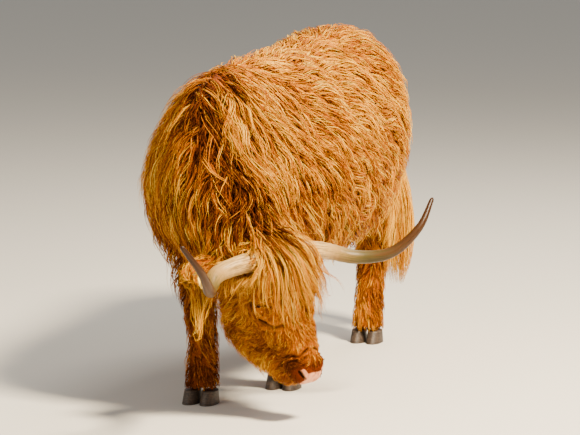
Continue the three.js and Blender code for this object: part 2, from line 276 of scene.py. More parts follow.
@dataclass
class MeshArrays:
    """A mesh as arrays, before it is handed to Blender."""

    points: Array
    loops: Array  # vertex of each face corner
    starts: Array  # first corner of each face
    uv: Array | None = None  # one per corner
    colours: dict[str, Array] = field(default_factory=dict)  # RGBA per vertex, by attribute name

    def to_piece(self, name: str, material: Material, slot: str, replaces: tuple[str, ...] = ()) -> None:
        """Makes a finished piece of the cow.

        Args:
            name: The piece's name.
            material: Its material.
            slot: Not used.
            replaces: The nodes that it stands for.
        """
        mesh = bpy.data.meshes.new(name)
        mesh.vertices.add(len(self.points))
        mesh.vertices.foreach_set("co", self.points.astype(np.float32).ravel())
        mesh.loops.add(len(self.loops))
        mesh.loops.foreach_set("vertex_index", self.loops.astype(np.int32).ravel())
        mesh.polygons.add(len(self.starts))
        mesh.polygons.foreach_set("loop_start", self.starts.astype(np.int32))
        mesh.update(calc_edges=True)
        if self.uv is not None:
            layer = mesh.uv_layers.new(name=BAKE_MAP)
            layer.data.foreach_set("uv", self.uv.astype(np.float32).ravel())
        for attribute, rgba in self.colours.items():
            store_colours(mesh, attribute, rgba)
        mesh.validate()
        finish_piece(bpy.data.objects.new(name, mesh), material, replaces)


def finish_piece(piece: Object, material: Material, replaces: tuple[str, ...]) -> None:
    """Dresses a piece, rides it on the cow and hides the nodes that it stands for.

    Args:
        piece: The object.
        material: Its material.
        replaces: The nodes that it stands for.
    """
    mesh = piece.data
    mesh.polygons.foreach_set("use_smooth", np.full(len(mesh.polygons), True))
    mesh.materials.append(material)
    if piece.name not in bpy.context.collection.objects:
        bpy.context.collection.objects.link(piece)
    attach(piece, BODY)
    if replaces:
        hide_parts(*replaces)
    log.info("%s: %d faces", piece.name, len(mesh.polygons))


def fan(loops: Array, starts: Array) -> Array:
    """Splits faces into triangles.

    Args:
        loops: The vertex of each face corner.
        starts: Each face's first corner.

    Returns:
        Three vertices for each triangle.
    """
    sizes = np.diff(np.append(starts, len(loops)))
    parts = []
    for corner in range(1, sizes.max() - 1):
        begin = starts[sizes > corner + 1]
        parts.append(np.stack([loops[begin], loops[begin + corner], loops[begin + corner + 1]], axis=1))
    return np.concatenate(parts)


def tube(path: Array, radii: Array, around: int, up: Array) -> MeshArrays:
    """Lofts round sections along a path and closes both ends.

    Args:
        path: The centres of the rings.
        radii: Each ring's two half-sizes, across and along the up direction.
        around: How many points each ring has.
        up: The up direction of every ring.

    Returns:
        The closed mesh, with an attribute "grain" holding the place along it and around it.
    """
    rings = len(path)
    heading = unit(np.gradient(path, axis=0))
    across = unit(np.cross(up, heading))
    above = np.cross(heading, across)
    angle = np.arange(around) * 2 * math.pi / around
    ring = (
        across[:, None] * np.cos(angle)[None, :, None] * radii[:, 0, None, None]
        + above[:, None] * np.sin(angle)[None, :, None] * radii[:, 1, None, None]
    )
    points = np.concatenate([(path[:, None] + ring).reshape(-1, 3), path[:1], path[-1:]])
    j = np.arange(around)
    k = (j + 1) % around
    low = np.arange(rings - 1)[:, None] * around
    sides = np.stack([low + j, low + k, low + around + k, low + around + j], axis=-1).reshape(-1, 4)
    first, last = rings * around, rings * around + 1
    start_cap = np.stack([np.full(around, first), k, j], axis=-1)
    end_cap = np.stack([np.full(around, last), (rings - 1) * around + j, (rings - 1) * around + k], axis=-1)
    loops = np.concatenate([sides.ravel(), start_cap.ravel(), end_cap.ravel()])
    quads, caps = len(sides), 2 * around
    starts = np.concatenate([np.arange(quads) * 4, quads * 4 + np.arange(caps) * 3])
    place = np.repeat(np.linspace(0, 1, rings), around)
    turn = np.tile(j / around, rings)
    grain = np.stack([place, turn, np.zeros_like(place), np.ones_like(place)], axis=-1)
    grain = np.concatenate([grain, [[0, 0, 0, 1], [1, 0, 0, 1]]])
    return MeshArrays(points, loops, starts, colours={"grain": grain})


def curve_through(points: Array, count: int) -> Array:
    """Reads a smooth curve through points at equal steps per point.

    Args:
        points: The points on the first axis.
        count: How many readings to take.

    Returns:
        The readings, from the first point to the last.
    """
    padded = np.concatenate([2 * points[:1] - points[1:2], points, 2 * points[-1:] - points[-2:-1]])
    place = np.linspace(0, len(points) - 1, count)
    index = np.minimum(place.astype(int), len(points) - 2)
    t = (place - index)[:, None]
    a, b, c, d = (padded[index + shift] for shift in range(4))
    return 0.5 * (2 * b + (c - a) * t + (2 * a - 5 * b + 4 * c - d) * t**2 + (3 * b - a - 3 * c + d) * t**3)


# ---- Finishes ----

RANGE = ("From Min", "From Max", "To Min", "To Max")
COAT_SHADES = (
    (0.0, "#341100"),
    (0.2, "#773500"),
    (0.42, "#af6300"),
    (0.62, "#d89400"),
    (0.8, "#ecb322"),
    (0.92, "#f4c238"),
    (1.0, "#f8d15e"),
)


@dataclass(frozen=True)
class HairFinish:
    """Cattle hair: keratin strands grown in locks, sun-bleached towards their tips, with painted shade at
    the roots.

    The eye sees golden bundles of hairs with darker ones between them, and a soft shine along each.
    """

    name: str = "cattle_hair_grown_in_locks"
    streaks: float = 5.0  # bundles across one lock, as single hairs are too fine to show
    ripples: float = 3.0  # slow changes of colour along one lock
    apart: float = 91.7  # how far from each other two locks read the noise
    streak_depth: float = 0.32
    # painted shade: how dark a lock is at its root, where the locks shade each other
    root_shade: float = 0.5
    shaded_share: float = 0.45  # of a lock's length, from its root, that the painted root shade covers
    roughness: float = 0.42
    shine: float = 0.11
    shine_tint: str = "#ffc266"
    bump_mm: float = 0.5

    def material(self) -> Material:
        """Builds the material from the lock attribute: tone, place along, place across, and chance.

        Returns:
            The material.
        """
        material, shader, add = new_material(self.name)
        tone, along, across, chance = read_attribute(add, "lock")
        place = add("CombineXYZ", links={0: across, 1: along, 2: chance})
        scale = (self.streaks, self.ripples, self.apart)
        place = add("VectorMath", {"operation": "MULTIPLY", 1: scale}, {0: place})
        hairs = add("TexNoise", {"Scale": 1.0, "Detail": 3.0, "Roughness": 0.6}, {"Vector": place})
        limits = (0.25, 0.75, -self.streak_depth, self.streak_depth)
        swing = add("MapRange", dict(zip(RANGE, limits)), {"Value": hairs})
        shade = add("Math", {"operation": "ADD"}, {0: tone, 1: swing})
        colour = add("ValToRGB", {"stops": COAT_SHADES}, {"Fac": shade})
        # Painted shade: each lock darkens towards its root.
        limits = (0.0, self.shaded_share, self.root_shade, 1.0)
        root = add("MapRange", dict(zip(RANGE, limits)), {"Value": along})
        root_shaded = add("VectorMath", {"operation": "SCALE"}, {0: colour, "Scale": root})
        bump = add("Bump", {"Strength": 0.6, "Distance": self.bump_mm * MM}, {"Height": hairs})
        shine = {"Specular IOR Level": self.shine, "Specular Tint": self.shine_tint}
        set_node(shader, {"Roughness": self.roughness, **shine}, {"Base Color": root_shaded, "Normal": bump})
        return material


@dataclass(frozen=True)
class HideFinish:
    """Cattle hide under its coat: skin grown over with short dense hair, and bare and moist on the nose.

    The eye sees the coat's own shades, painted shade in creases and nostrils, and a pink nose that shines a
    little.
    """

    name: str = "cattle_hide_short_haired"
    hair_mm: float = 3.0  # tufts, as single short hairs are too fine to show
    hair_swing: tuple[float, float] = (-0.18, 0.12)  # darker and lighter than the tone
    nose_colour: str = "#e2a076"
    nose_blush: str = "#c07048"
    blush_mm: float = 50 / 3  # patches of deeper pink
    velvet: str = "#561d00"
    # painted shade for the folds, the nostrils, the mouth line and the lids
    crease: str = "#210a02"
    pore_mm: float = 3.2  # the nose's pebbles
    bump_mm: float = 1.2
    hair_roughness: float = 0.72
    nose_roughness: float = 0.3
    shine: float = 0.18
    shine_tint: str = "#ffa850"

    def material(self) -> Material:
        """Builds the material from the hide attribute: tone, bare nose, velvet round it, and painted shade
        in the creases.

        Returns:
            The material.
        """
        material, shader, add = new_material(self.name)
        tone, nose, velvet, crease = read_attribute(add, "hide")
        here = add("TexCoord").outputs["Object"]
        settings = {"Scale": 1 / (self.hair_mm * MM), "Detail": 4.0, "Roughness": 0.7}
        hairs = add("TexNoise", settings, {"Vector": here})
        swing = add("MapRange", dict(zip(RANGE, (0.3, 0.7, *self.hair_swing))), {"Value": hairs})
        shade = add("Math", {"operation": "ADD"}, {0: tone, 1: swing})
        coat = add("ValToRGB", {"stops": COAT_SHADES}, {"Fac": shade})
        blush = add("TexNoise", {"Scale": 1 / (self.blush_mm * MM), "Detail": 2.0}, {"Vector": here})
        stops = ((0.35, self.nose_blush), (0.6, self.nose_colour))
        bare = add("ValToRGB", {"stops": stops}, {"Fac": blush})
        mixed = {"data_type": "RGBA"}
        furred = add("Mix", {**mixed, 7: self.velvet}, {0: velvet, 6: coat}).outputs[2]
        nosed = add("Mix", mixed, {0: nose, 6: furred, 7: bare}).outputs[2]
        dark = add("Mix", {**mixed, 7: self.crease}, {0: crease, 6: nosed}).outputs[2]
        limits = (0.0, 1.0, self.hair_roughness, self.nose_roughness)
        gloss = add("MapRange", dict(zip(RANGE, limits)), {"Value": nose})
        settings = {"Scale": 1 / (self.pore_mm * MM), "feature": "SMOOTH_F1", "Smoothness": 0.4}
        pores = add("TexVoronoi", settings, {"Vector": here})
        relief = add("Mix", {"data_type": "FLOAT"}, {0: nose, 2: hairs, 3: pores})
        bump = add("Bump", {"Strength": 0.5, "Distance": self.bump_mm * MM}, {"Height": relief})
        shine = {"Specular IOR Level": self.shine, "Specular Tint": self.shine_tint}
        set_node(shader, shine, {"Base Color": dark, "Roughness": gloss, "Normal": bump})
        return material


@dataclass(frozen=True)
class HornFinish:
    """Cattle horn: keratin grown in layers and worn smooth by rubbing.

    The eye sees a cream shaft with grimy fibres along it, an olive bend and a glossier dark brown tip.
    """

    name: str = "cattle_horn_grown_and_rubbed"
    base: str = "#7a5c38"
    shaft: str = "#a88349"
    bright: str = "#cba666"
    bend: str = "#565026"
    dusk: str = "#4e3015"
    tip: str = "#321b0a"
    fibre_turns: float = 26.0  # fibres round the shaft
    wander: float = 0.16  # how far the colours run into each other along the horn
    rings: float = 70.0  # growth rings, about 9 mm each
    bump_mm: float = 1.0
    shine: float = 0.2
    glow: float = 0.08  # light that passes through the outer layers
    glow_mm: float = 4.0

    def material(self) -> Material:
        """Builds the material from the grain attribute: the place along the horn and around it.

        Returns:
            The material.
        """
        material, shader, add = new_material(self.name)
        along, around, _, _ = read_attribute(add, "grain")
        turn = add("Math", {"operation": "MULTIPLY", 1: 2 * math.pi}, {0: around})
        cosine, sine = (add("Math", {"operation": name}, {0: turn}) for name in ("COSINE", "SINE"))
        stretched = add("CombineXYZ", links={0: cosine, 1: sine, 2: along})
        settings = {"Scale": self.fibre_turns / math.pi, "Detail": 8.0, "Roughness": 0.7}
        fibres = add("TexNoise", settings, {"Vector": stretched})
        limits = (0.3, 0.7, -self.wander, self.wander)
        wander = add("MapRange", dict(zip(RANGE, limits)), {"Value": fibres})
        place = add("Math", {"operation": "ADD"}, {0: along, 1: wander})
        places = (0.0, 0.16, 0.36, 0.46, 0.57, 0.74, 1.0)
        colours = (self.base, self.shaft, self.bright, self.shaft, self.bend, self.dusk, self.tip)
        colour = add("ValToRGB", {"stops": tuple(zip(places, colours))}, {"Fac": place})
        grime = add("MapRange", dict(zip(RANGE, (0.42, 0.58, 0.48, 1.08))), {"Value": fibres})
        worn = add("VectorMath", {"operation": "SCALE"}, {0: colour, "Scale": grime})
        growth = add("CombineXYZ", links={2: along})
        rings = add("TexNoise", {"Scale": self.rings, "Detail": 1.0}, {"Vector": growth})
        relief = add("Math", {"operation": "MULTIPLY_ADD", 1: 0.5}, {0: rings, 2: fibres})
        bump = add("Bump", {"Strength": 0.35, "Distance": self.bump_mm * MM}, {"Height": relief})
        gloss = add("MapRange", {"To Min": 0.5, "To Max": 0.3}, {"Value": along})
        glow = {
            "Subsurface Weight": self.glow,
            "Subsurface Scale": self.glow_mm * MM,
            "Subsurface Radius": (1.0, 0.6, 0.35),
        }
        links = {"Base Color": worn, "Roughness": gloss, "Normal": bump}
        set_node(shader, {"Specular IOR Level": self.shine, **glow}, links)
        return material


@dataclass(frozen=True)
class HoofFinish:
    """Hoof wall: dark keratin grown in layers and scuffed by turf.

    The eye sees a dull dark wall with growth rings parallel to the coronet.
    """

    name: str = "hoof_keratin_worn_by_turf"
    dark: str = "#241c17"
    light: str = "#5c4b3d"
    ring_mm: float = 5.0  # from one growth ring to the next
    scuff_mm: float = 50 / 7  # scratched patches, as single scratches are too fine to show
    bump_mm: float = 1.0
    roughness: float = 0.55

    def material(self) -> Material:
        """Builds the material from the height above the floor and a fine noise.

        Returns:
            The material.
        """
        material, shader, add = new_material(self.name)
        here = add("TexCoord").outputs["Object"]
        parts = add("SeparateXYZ", links={0: here})
        level = add("CombineXYZ", links={2: parts.outputs[2]})
        rings = add("TexNoise", {"Scale": 1 / (self.ring_mm * MM), "Detail": 2.0}, {"Vector": level})
        scuffs = add("TexNoise", {"Scale": 1 / (self.scuff_mm * MM), "Detail": 6.0}, {"Vector": here})
        both = add("Math", {"operation": "MULTIPLY"}, {0: rings, 1: scuffs})
        colour = add("ValToRGB", {"stops": ((0.15, self.dark), (0.4, self.light))}, {"Fac": both})
        bump = add("Bump", {"Strength": 0.5, "Distance": self.bump_mm * MM}, {"Height": both})
        set_node(shader, {"Roughness": self.roughness}, {"Base Color": colour, "Normal": bump})
        return material


@dataclass(frozen=True)
class EyeFinish:
    """A cow's eye: a wet clear cornea over a dark brown iris, which the eye sees as a black glint."""

    name: str = "eye_wet_brown"
    shades: tuple[tuple[float, str], ...] = (
        (0.0, "#050302"),
        (0.3, "#070403"),
        (0.4, "#2b1408"),
        (0.72, "#1c0c05"),
        (0.85, "#6b5546"),
    )
    roughness: float = 0.06
    ior: float = 1.38
    wet: float = 0.6

    def material(self) -> Material:
        """Builds the material from the gaze attribute: the distance out from the middle of the eye's front.

        Returns:
            The material.
        """
        material, shader, add = new_material(self.name)
        colour = add("ValToRGB", {"stops": self.shades}, {"Fac": read_attribute(add, "gaze")[0]})
        wet = {"Coat Weight": self.wet, "Coat Roughness": self.roughness / 2}
        set_node(shader, {"Roughness": self.roughness, "IOR": self.ior, **wet}, {"Base Color": colour})
        return material


@dataclass(frozen=True)
class TagFinish:
    """An ear tag's polyurethane: moulded satin yellow, which weather has scuffed grey-white in places."""

    name: str = "polyurethane_moulded_yellow"
    yellow: str = "#f0c30e"
    scuff: str = "#cfc9ae"
    wear_mm: float = 100 / 9  # scuffed patches

    def material(self) -> Material:
        """Builds the material.

        Returns:
            The material.
        """
        material, shader, add = new_material(self.name)
        here = add("TexCoord").outputs["Object"]
        settings = {"Scale": 1 / (self.wear_mm * MM), "Detail": 5.0, "Roughness": 0.7}
        wear = add("TexNoise", settings, {"Vector": here})
        colour = add("ValToRGB", {"stops": ((0.5, self.yellow), (0.72, self.scuff))}, {"Fac": wear})
        gloss = add("MapRange", {"To Min": 0.32, "To Max": 0.62}, {"Value": wear})
        set_node(shader, {}, {"Base Color": colour, "Roughness": gloss})
        return material


@dataclass(frozen=True)
class FloorFinish:
    """A studio floor: pale matt paint, rolled on, without any shine."""

    name: str = "studio_paint_rolled_matt"
    colour: str = "#dad8d2"
    roughness: float = 0.85

    def material(self) -> Material:
        """Builds the material.

        Returns:
            The material.
        """
        material, shader, _ = new_material(self.name)
        set_node(shader, {"Base Color": self.colour, "Roughness": self.roughness}, {})
        return material


# ---- The lie of the coat ----


class Zone(Enum):
    """The parts of the hide that are combed each in its own way, with the nodes that each covers."""

    TRUNK = ("trunk",)
    NECK = ("neck",)
    LEGS = ("foreleg_left", "foreleg_right", "hindleg_left", "hindleg_right")
    FACE = ("head", "lower_jaw", "muzzle")
    EARS = ("ear_left", "ear_right")
    TAIL = ("tail",)

    @property
    def axes(self) -> Matrix:
        """The axes that the zone's combs are given in."""
        return HEAD if self in (Zone.FACE, Zone.EARS) else COW


LONG_HAIRED = (Zone.TRUNK, Zone.NECK)
FLESH_NODES = tuple(node for zone in Zone for node in zone.value)
ZONE_OF_NODE = {node: index for index, zone in enumerate(Zone) for node in zone.value}


@dataclass(frozen=True)
class Comb:
    """One stroke of the comb: how the coat lies near one place, with sizes in millimetres."""

    at: Point  # in the zone's axes
    lie: Point  # which way the hair points
    length: float
    depth: float  # from the hide to the outer face of the coat
    pale: float  # 0 is deep red-brown, 1 is blond
    wave: float = 6.0  # how far a lock swings to each side
    hug: float = 1.0  # 1 keeps to the hide, 0 hangs free
    reach: float = 170.0
    sides: int = 2  # 2 is mirrored to the other side as well


def combs(*rows: tuple) -> tuple[Comb, ...]:
    """Makes a comb of each row."""
    return tuple(Comb(*row) for row in rows)


TRUNK_COMBS = combs(
    ((0, -450, 1128), (0.85, 0.05, -0.5), 200, 36, 0.54, 9, 1, 110, 1),
    ((-75, -440, 1085), (-0.7, 0.05, -0.7), 190, 36, 0.5, 9, 1, 110, 1),
    ((30, -150, 1140), (0.55, 0.8, -0.3), 120, 28, 0.55, 7),
    ((40, 150, 1145), (0.5, 0.8, -0.3), 105, 26, 0.55, 6),
    ((40, 450, 1180), (0.5, 0.8, -0.3), 90, 24, 0.55, 5),
    ((90, 690, 1180), (0.5, 0.65, -0.45), 100, 22, 0.54, 6),
    ((210, -430, 940), (0.3, 0.3, -0.88), 165, 38, 0.5, 10),
    ((270, -200, 930), (0.3, 0.5, -0.78), 140, 34, 0.54, 9),
    ((290, 60, 930), (0.25, 0.65, -0.65), 130, 32, 0.57, 9),
    ((280, 330, 960), (0.25, 0.65, -0.65), 115, 30, 0.56, 8),
    ((230, 600, 1060), (0.3, 0.5, -0.8), 115, 26, 0.54, 7),
    ((330, -300, 680), (0.1, 0.45, -0.88), 150, 38, 0.44, 10),
    ((380, -60, 720), (0.05, 0.6, -0.78), 130, 36, 0.5, 9),
    ((380, 220, 720), (0.05, 0.58, -0.8), 125, 34, 0.5, 9),
    ((345, 480, 760), (0, 0.45, -0.9), 115, 32, 0.5, 8),
    ((280, 690, 800), (-0.05, 0.25, -0.97), 120, 30, 0.54, 7),
    ((110, 850, 900), (0.1, 0.2, -1), 110, 32, 0.6, 7),
    ((290, -420, 520), (0, 0.35, -0.93), 150, 44, 0.36, 12),
    ((340, -60, 520), (0, 0.6, -0.8), 125, 44, 0.4, 10, 0.9),
    ((330, 220, 500), (0, 0.55, -0.83), 130, 46, 0.38, 10, 0.85),
    ((300, 440, 560), (0, 0.3, -0.95), 140, 42, 0.5, 9, 0.9),
    ((250, 640, 600), (0, 0.1, -1), 150, 38, 0.66, 8, 0.9),
    ((110, -250, 370), (0.15, 0.25, -0.95), 95, 64, 0.26, 9, 0.4),
    ((110, 100, 355), (0.15, 0.25, -0.95), 95, 66, 0.28, 9, 0.4),
    ((100, 400, 420), (0.15, 0.2, -0.97), 95, 60, 0.3, 9, 0.4),
    ((90, -640, 470), (0.1, 0.05, -1), 140, 54, 0.3, 11, 0.5),
    ((60, -730, 640), (0.15, -0.1, -1), 150, 46, 0.32, 11, 0.8),
)

NECK_COMBS = combs(
    ((20, -560, 1090), (0.75, -0.1, -0.6), 220, 40, 0.54, 12, 1, 110, 1),
    ((-60, -580, 1050), (-0.6, 0, -0.75), 210, 40, 0.5, 12, 1, 110, 1),
    ((80, -730, 990), (0.45, -0.3, -0.85), 220, 42, 0.46, 12, 1, 100, 1),
    ((-50, -730, 950), (-0.55, -0.1, -0.82), 220, 42, 0.5, 12, 1, 110, 1),
    ((150, -770, 850), (0.45, 0, -0.88), 210, 42, 0.46, 12, 1, 90, 1),
    ((10, -840, 810), (-0.45, -0.2, -0.86), 220, 42, 0.48, 12, 1, 110, 1),
    ((235, -730, 700), (0.5, 0.2, -0.8), 150, 38, 0.5, 9, 1, 80, 1),
    ((110, -830, 690), (-0.5, -0.35, -0.78), 180, 40, 0.46, 11, 1, 90, 1),
    ((220, -560, 850), (0.3, 0.1, -0.92), 180, 42, 0.46, 12, 1, 150, 1),
    ((240, -600, 630), (0.2, 0.35, -0.9), 150, 40, 0.48, 11, 1, 130, 1),
    ((-150, -640, 830), (-0.35, 0.05, -0.93), 200, 42, 0.44, 12, 1, 150, 1),
    ((-190, -600, 640), (-0.15, 0.1, -0.98), 180, 44, 0.3, 12, 1, 150, 1),
    ((-40, -700, 560), (0, 0, -1), 170, 48, 0.24, 11, 0.8, 150, 1),
    ((110, -560, 480), (0.1, 0.1, -1), 130, 46, 0.24, 10, 0.6, 130, 1),
)

LEG_COMBS = combs(
    ((170, -400, 560), (0.05, 0.2, -1), 110, 26, 0.32, 7, 1, 150),
    ((150, -330, 400), (0, 0.15, -1), 60, 17, 0.26, 4, 1, 110),
    ((110, -450, 250), (0, 0.1, -1), 42, 13, 0.25, 3, 1, 110),
    ((110, -450, 90), (0.05, 0, -1), 48, 14, 0.3, 3, 0.9, 60),
    ((200, 560, 620), (0.1, 0.15, -1), 110, 28, 0.45, 7, 1, 130),
    ((170, 790, 600), (0, 0.15, -1), 170, 34, 0.78, 7, 0.9, 130),
    ((150, 800, 420), (0, 0.1, -1), 130, 26, 0.62, 6, 0.8, 90),
    ((130, 660, 420), (0, 0.1, -1), 60, 16, 0.34, 4, 1, 90),
    ((125, 700, 240), (0, 0.1, -1), 46, 13, 0.34, 3, 1, 100),
    ((125, 690, 90), (0.05, -0.05, -1), 52, 14, 0.38, 3, 0.9, 60),
)

FACE_COMBS = combs(
    ((45, 20, 10), (0.4, -0.9, 0.1), 60, 10, 0.45, 4, 1, 50),
    ((50, -70, 8), (0.25, -0.95, 0), 40, 9, 0.4, 4, 1, 50),
    ((75, -130, -15), (0.3, -0.9, -0.3), 28, 7, 0.4, 3, 1, 32),
    ((95, -195, -55), (0.2, -0.75, -0.6), 30, 7, 0.4, 4, 1, 32),
    ((25, -200, 0), (0.15, -0.98, -0.05), 30, 6, 0.42, 3, 1, 50),
    ((30, -290, -8), (0.15, -0.95, -0.1), 22, 5, 0.4, 2, 1, 40),
    ((62, -300, -75), (0.1, -0.7, -0.7), 26, 6, 0.36, 4, 1, 40),
    ((55, -355, -60), (0.2, -0.5, -0.8), 9, 2.5, 0.28, 1, 1, 25),
    ((120, -60, -90), (0.2, -0.75, -0.6), 50, 12, 0.44, 6, 1, 60),
    ((115, -150, -120), (0.2, -0.6, -0.75), 44, 12, 0.42, 6, 1, 60),
    ((95, -230, -130), (0.15, -0.55, -0.8), 42, 11, 0.38, 6, 1, 50),
    ((90, -110, -230), (0.1, -0.5, -0.85), 68, 20, 0.4, 9, 0.8, 70),
    ((60, -230, -220), (0.1, -0.55, -0.85), 58, 18, 0.36, 8, 0.7, 60),
    ((35, -340, -165), (0.1, -0.6, -0.8), 32, 9, 0.34, 4, 0.7, 40),
    ((90, 10, -200), (0.1, -0.5, -0.85), 80, 28, 0.34, 8, 0.8, 70),
    ((60, 70, -70), (0.5, -0.6, -0.6), 60, 14, 0.5, 6, 1, 50),
)

EAR_COMBS = combs(
    ((230, 60, -112), (0.9, 0.15, 0.05), 26, 5, 0.36, 2, 1, 60),
    ((200, 24, -90), (0.8, -0.5, 0.15), 40, 6, 0.42, 3, 1, 50),
    ((180, -30, -112), (0.35, -0.9, -0.1), 120, 6, 0.42, 6, 0.4, 50),
    ((270, -35, -120), (0.3, -0.92, -0.1), 215, 6, 0.5, 9, 0.2, 60),
    ((330, 5, -128), (0.45, -0.85, -0.1), 150, 5, 0.5, 8, 0.25, 50),
    ((230, 24, -135), (0.8, -0.4, -0.2), 40, 6, 0.36, 3, 1, 50),
)

TAIL_COMBS = combs(
    ((10, 860, 1120), (0.1, 0.4, -0.9), 60, 16, 0.6, 3, 1, 160, 1),
    ((60, 950, 900), (0.25, 0, -0.95), 60, 16, 0.6, 3, 1, 160, 1),
    ((115, 930, 740), (0.2, 0, -0.98), 110, 16, 0.66, 5, 1, 100, 1),
)

COMBS = {
    **dict.fromkeys(LONG_HAIRED, TRUNK_COMBS + NECK_COMBS),
    Zone.LEGS: LEG_COMBS,
    Zone.FACE: FACE_COMBS,
    Zone.EARS: EAR_COMBS,
    Zone.TAIL: TAIL_COMBS,
}


@dataclass
class Reading:
    """What the combs say at some points: directions in the frame's axes and sizes in metres."""

    lie: Array
    length: Array
    depth: Array
    pale: Array
    wave: Array
    hug: Array


def read_combs(zone: Zone, points: Array) -> Reading:
    """Blends a zone's combs at points, each comb counting by how near it is.

    Args:
        zone: The zone whose combs are read.
        points: Points in the frame's axes.

    Returns:
        The blended reading at each point.
    """
    strokes = []
    for comb in COMBS[zone]:
        for side in (1, -1) if comb.sides == 2 else (1,):
            mirror = np.array([side, 1, 1])
            at, lie = np.array(comb.at) * mirror * MM, np.array(comb.lie) * mirror
            values = (comb.length * MM, comb.depth * MM, comb.pale, comb.wave * MM, comb.hug)
            strokes.append([*at, *lie, *values, comb.reach * MM])
    table = np.array(strokes)
    local = moved(zone.axes.inverted(), points)
    gap = span(local[:, None] - table[None, :, :3]) / table[None, :, -1]
    # The second term is tiny, and only counts where no comb is within reach: there the nearest decide.
    weight = np.exp(-2.0 * gap * gap) + 1e-7 / (1e-3 + gap**4)
    weight /= weight.sum(axis=1, keepdims=True)
    blend = weight @ table[:, 3:-1]
    lie = unit(turned(zone.axes, blend[:, :3]))
    return Reading(lie, *(blend[:, 3 + i] for i in range(5)))


# ---- Skin ----


@dataclass
class Surface:
    """The finished hide as arrays, for the coat to grow on."""

    points: Array
    normals: Array
    triangles: Array
    triangle_uv: Array
    zones: Array  # zone index of each vertex
    tree: BVHTree

    def with_solid(self, solid: MeshArrays) -> Surface:
        """Adds a solid that long hair may fall over but doesn't grow on.

        Args:
            solid: The solid.

        Returns:
            The two together.
        """
        extra = fan(solid.loops, solid.starts)
        a, b, c = (solid.points[extra[:, i]] for i in range(3))
        facing = np.cross(b - a, c - a)
        normals = np.zeros_like(solid.points)
        for corner in range(3):
            np.add.at(normals, extra[:, corner], facing)
        points = np.concatenate([self.points, solid.points])
        triangles = np.concatenate([self.triangles, extra + len(self.points)])
        return Surface(
            points,
            np.concatenate([self.normals, unit(normals)]),
            triangles,
            np.concatenate([self.triangle_uv, np.zeros((len(extra), 3, 2))]),
            np.concatenate([self.zones, np.full(len(solid.points), -1)]),
            BVHTree.FromPolygons(points.tolist(), triangles.tolist()),
        )

    def uv_near(self, points: Array) -> Array:
        """The places on the bake map of the triangles nearest to points."""
        hits = [self.tree.find_nearest(point)[2] for point in points.tolist()]
        return self.triangle_uv[hits].mean(axis=1)

    def nearest(self, points: Array) -> tuple[Array, Array]:
        """Finds the hide below points.

        Args:
            points: Points in the frame's axes.

        Returns:
            The nearest places on the hide and the smooth normals there.
        """
        find = self.tree.find_nearest
        hits = [find(point) for point in points.tolist()]
        feet = np.array([hit[0] for hit in hits])
        corners = self.triangles[[hit[2] for hit in hits]]
        near = 1 / (span(self.points[corners] - feet[:, None])[..., None] + 1e-5)
        return feet, unit((self.normals[corners] * near).sum(axis=1))


def relax(values: Array, edges: Array, rounds: int, strength: float = 0.5) -> Array:
    """Evens values over a mesh by drawing each vertex towards the mean of its neighbours.

    Args:
        values: One row for each vertex.
        edges: Pairs of vertices.
        rounds: How many times.
        strength: The share of the way that each value goes, which may differ by vertex.

    Returns:
        The evened values.
    """
    values = np.array(values, dtype=float).reshape(len(values), -1)
    a, b = edges[:, 0], edges[:, 1]
    count = len(values)
    degree = np.maximum(np.bincount(edges.ravel(), minlength=count), 1)[:, None]
    for _ in range(rounds):
        total = np.empty_like(values)
        for index, column in enumerate(values.T):
            total[:, index] = np.bincount(a, weights=column[b], minlength=count)
            total[:, index] += np.bincount(b, weights=column[a], minlength=count)
        values = values + strength * (total / degree - values)
    return values


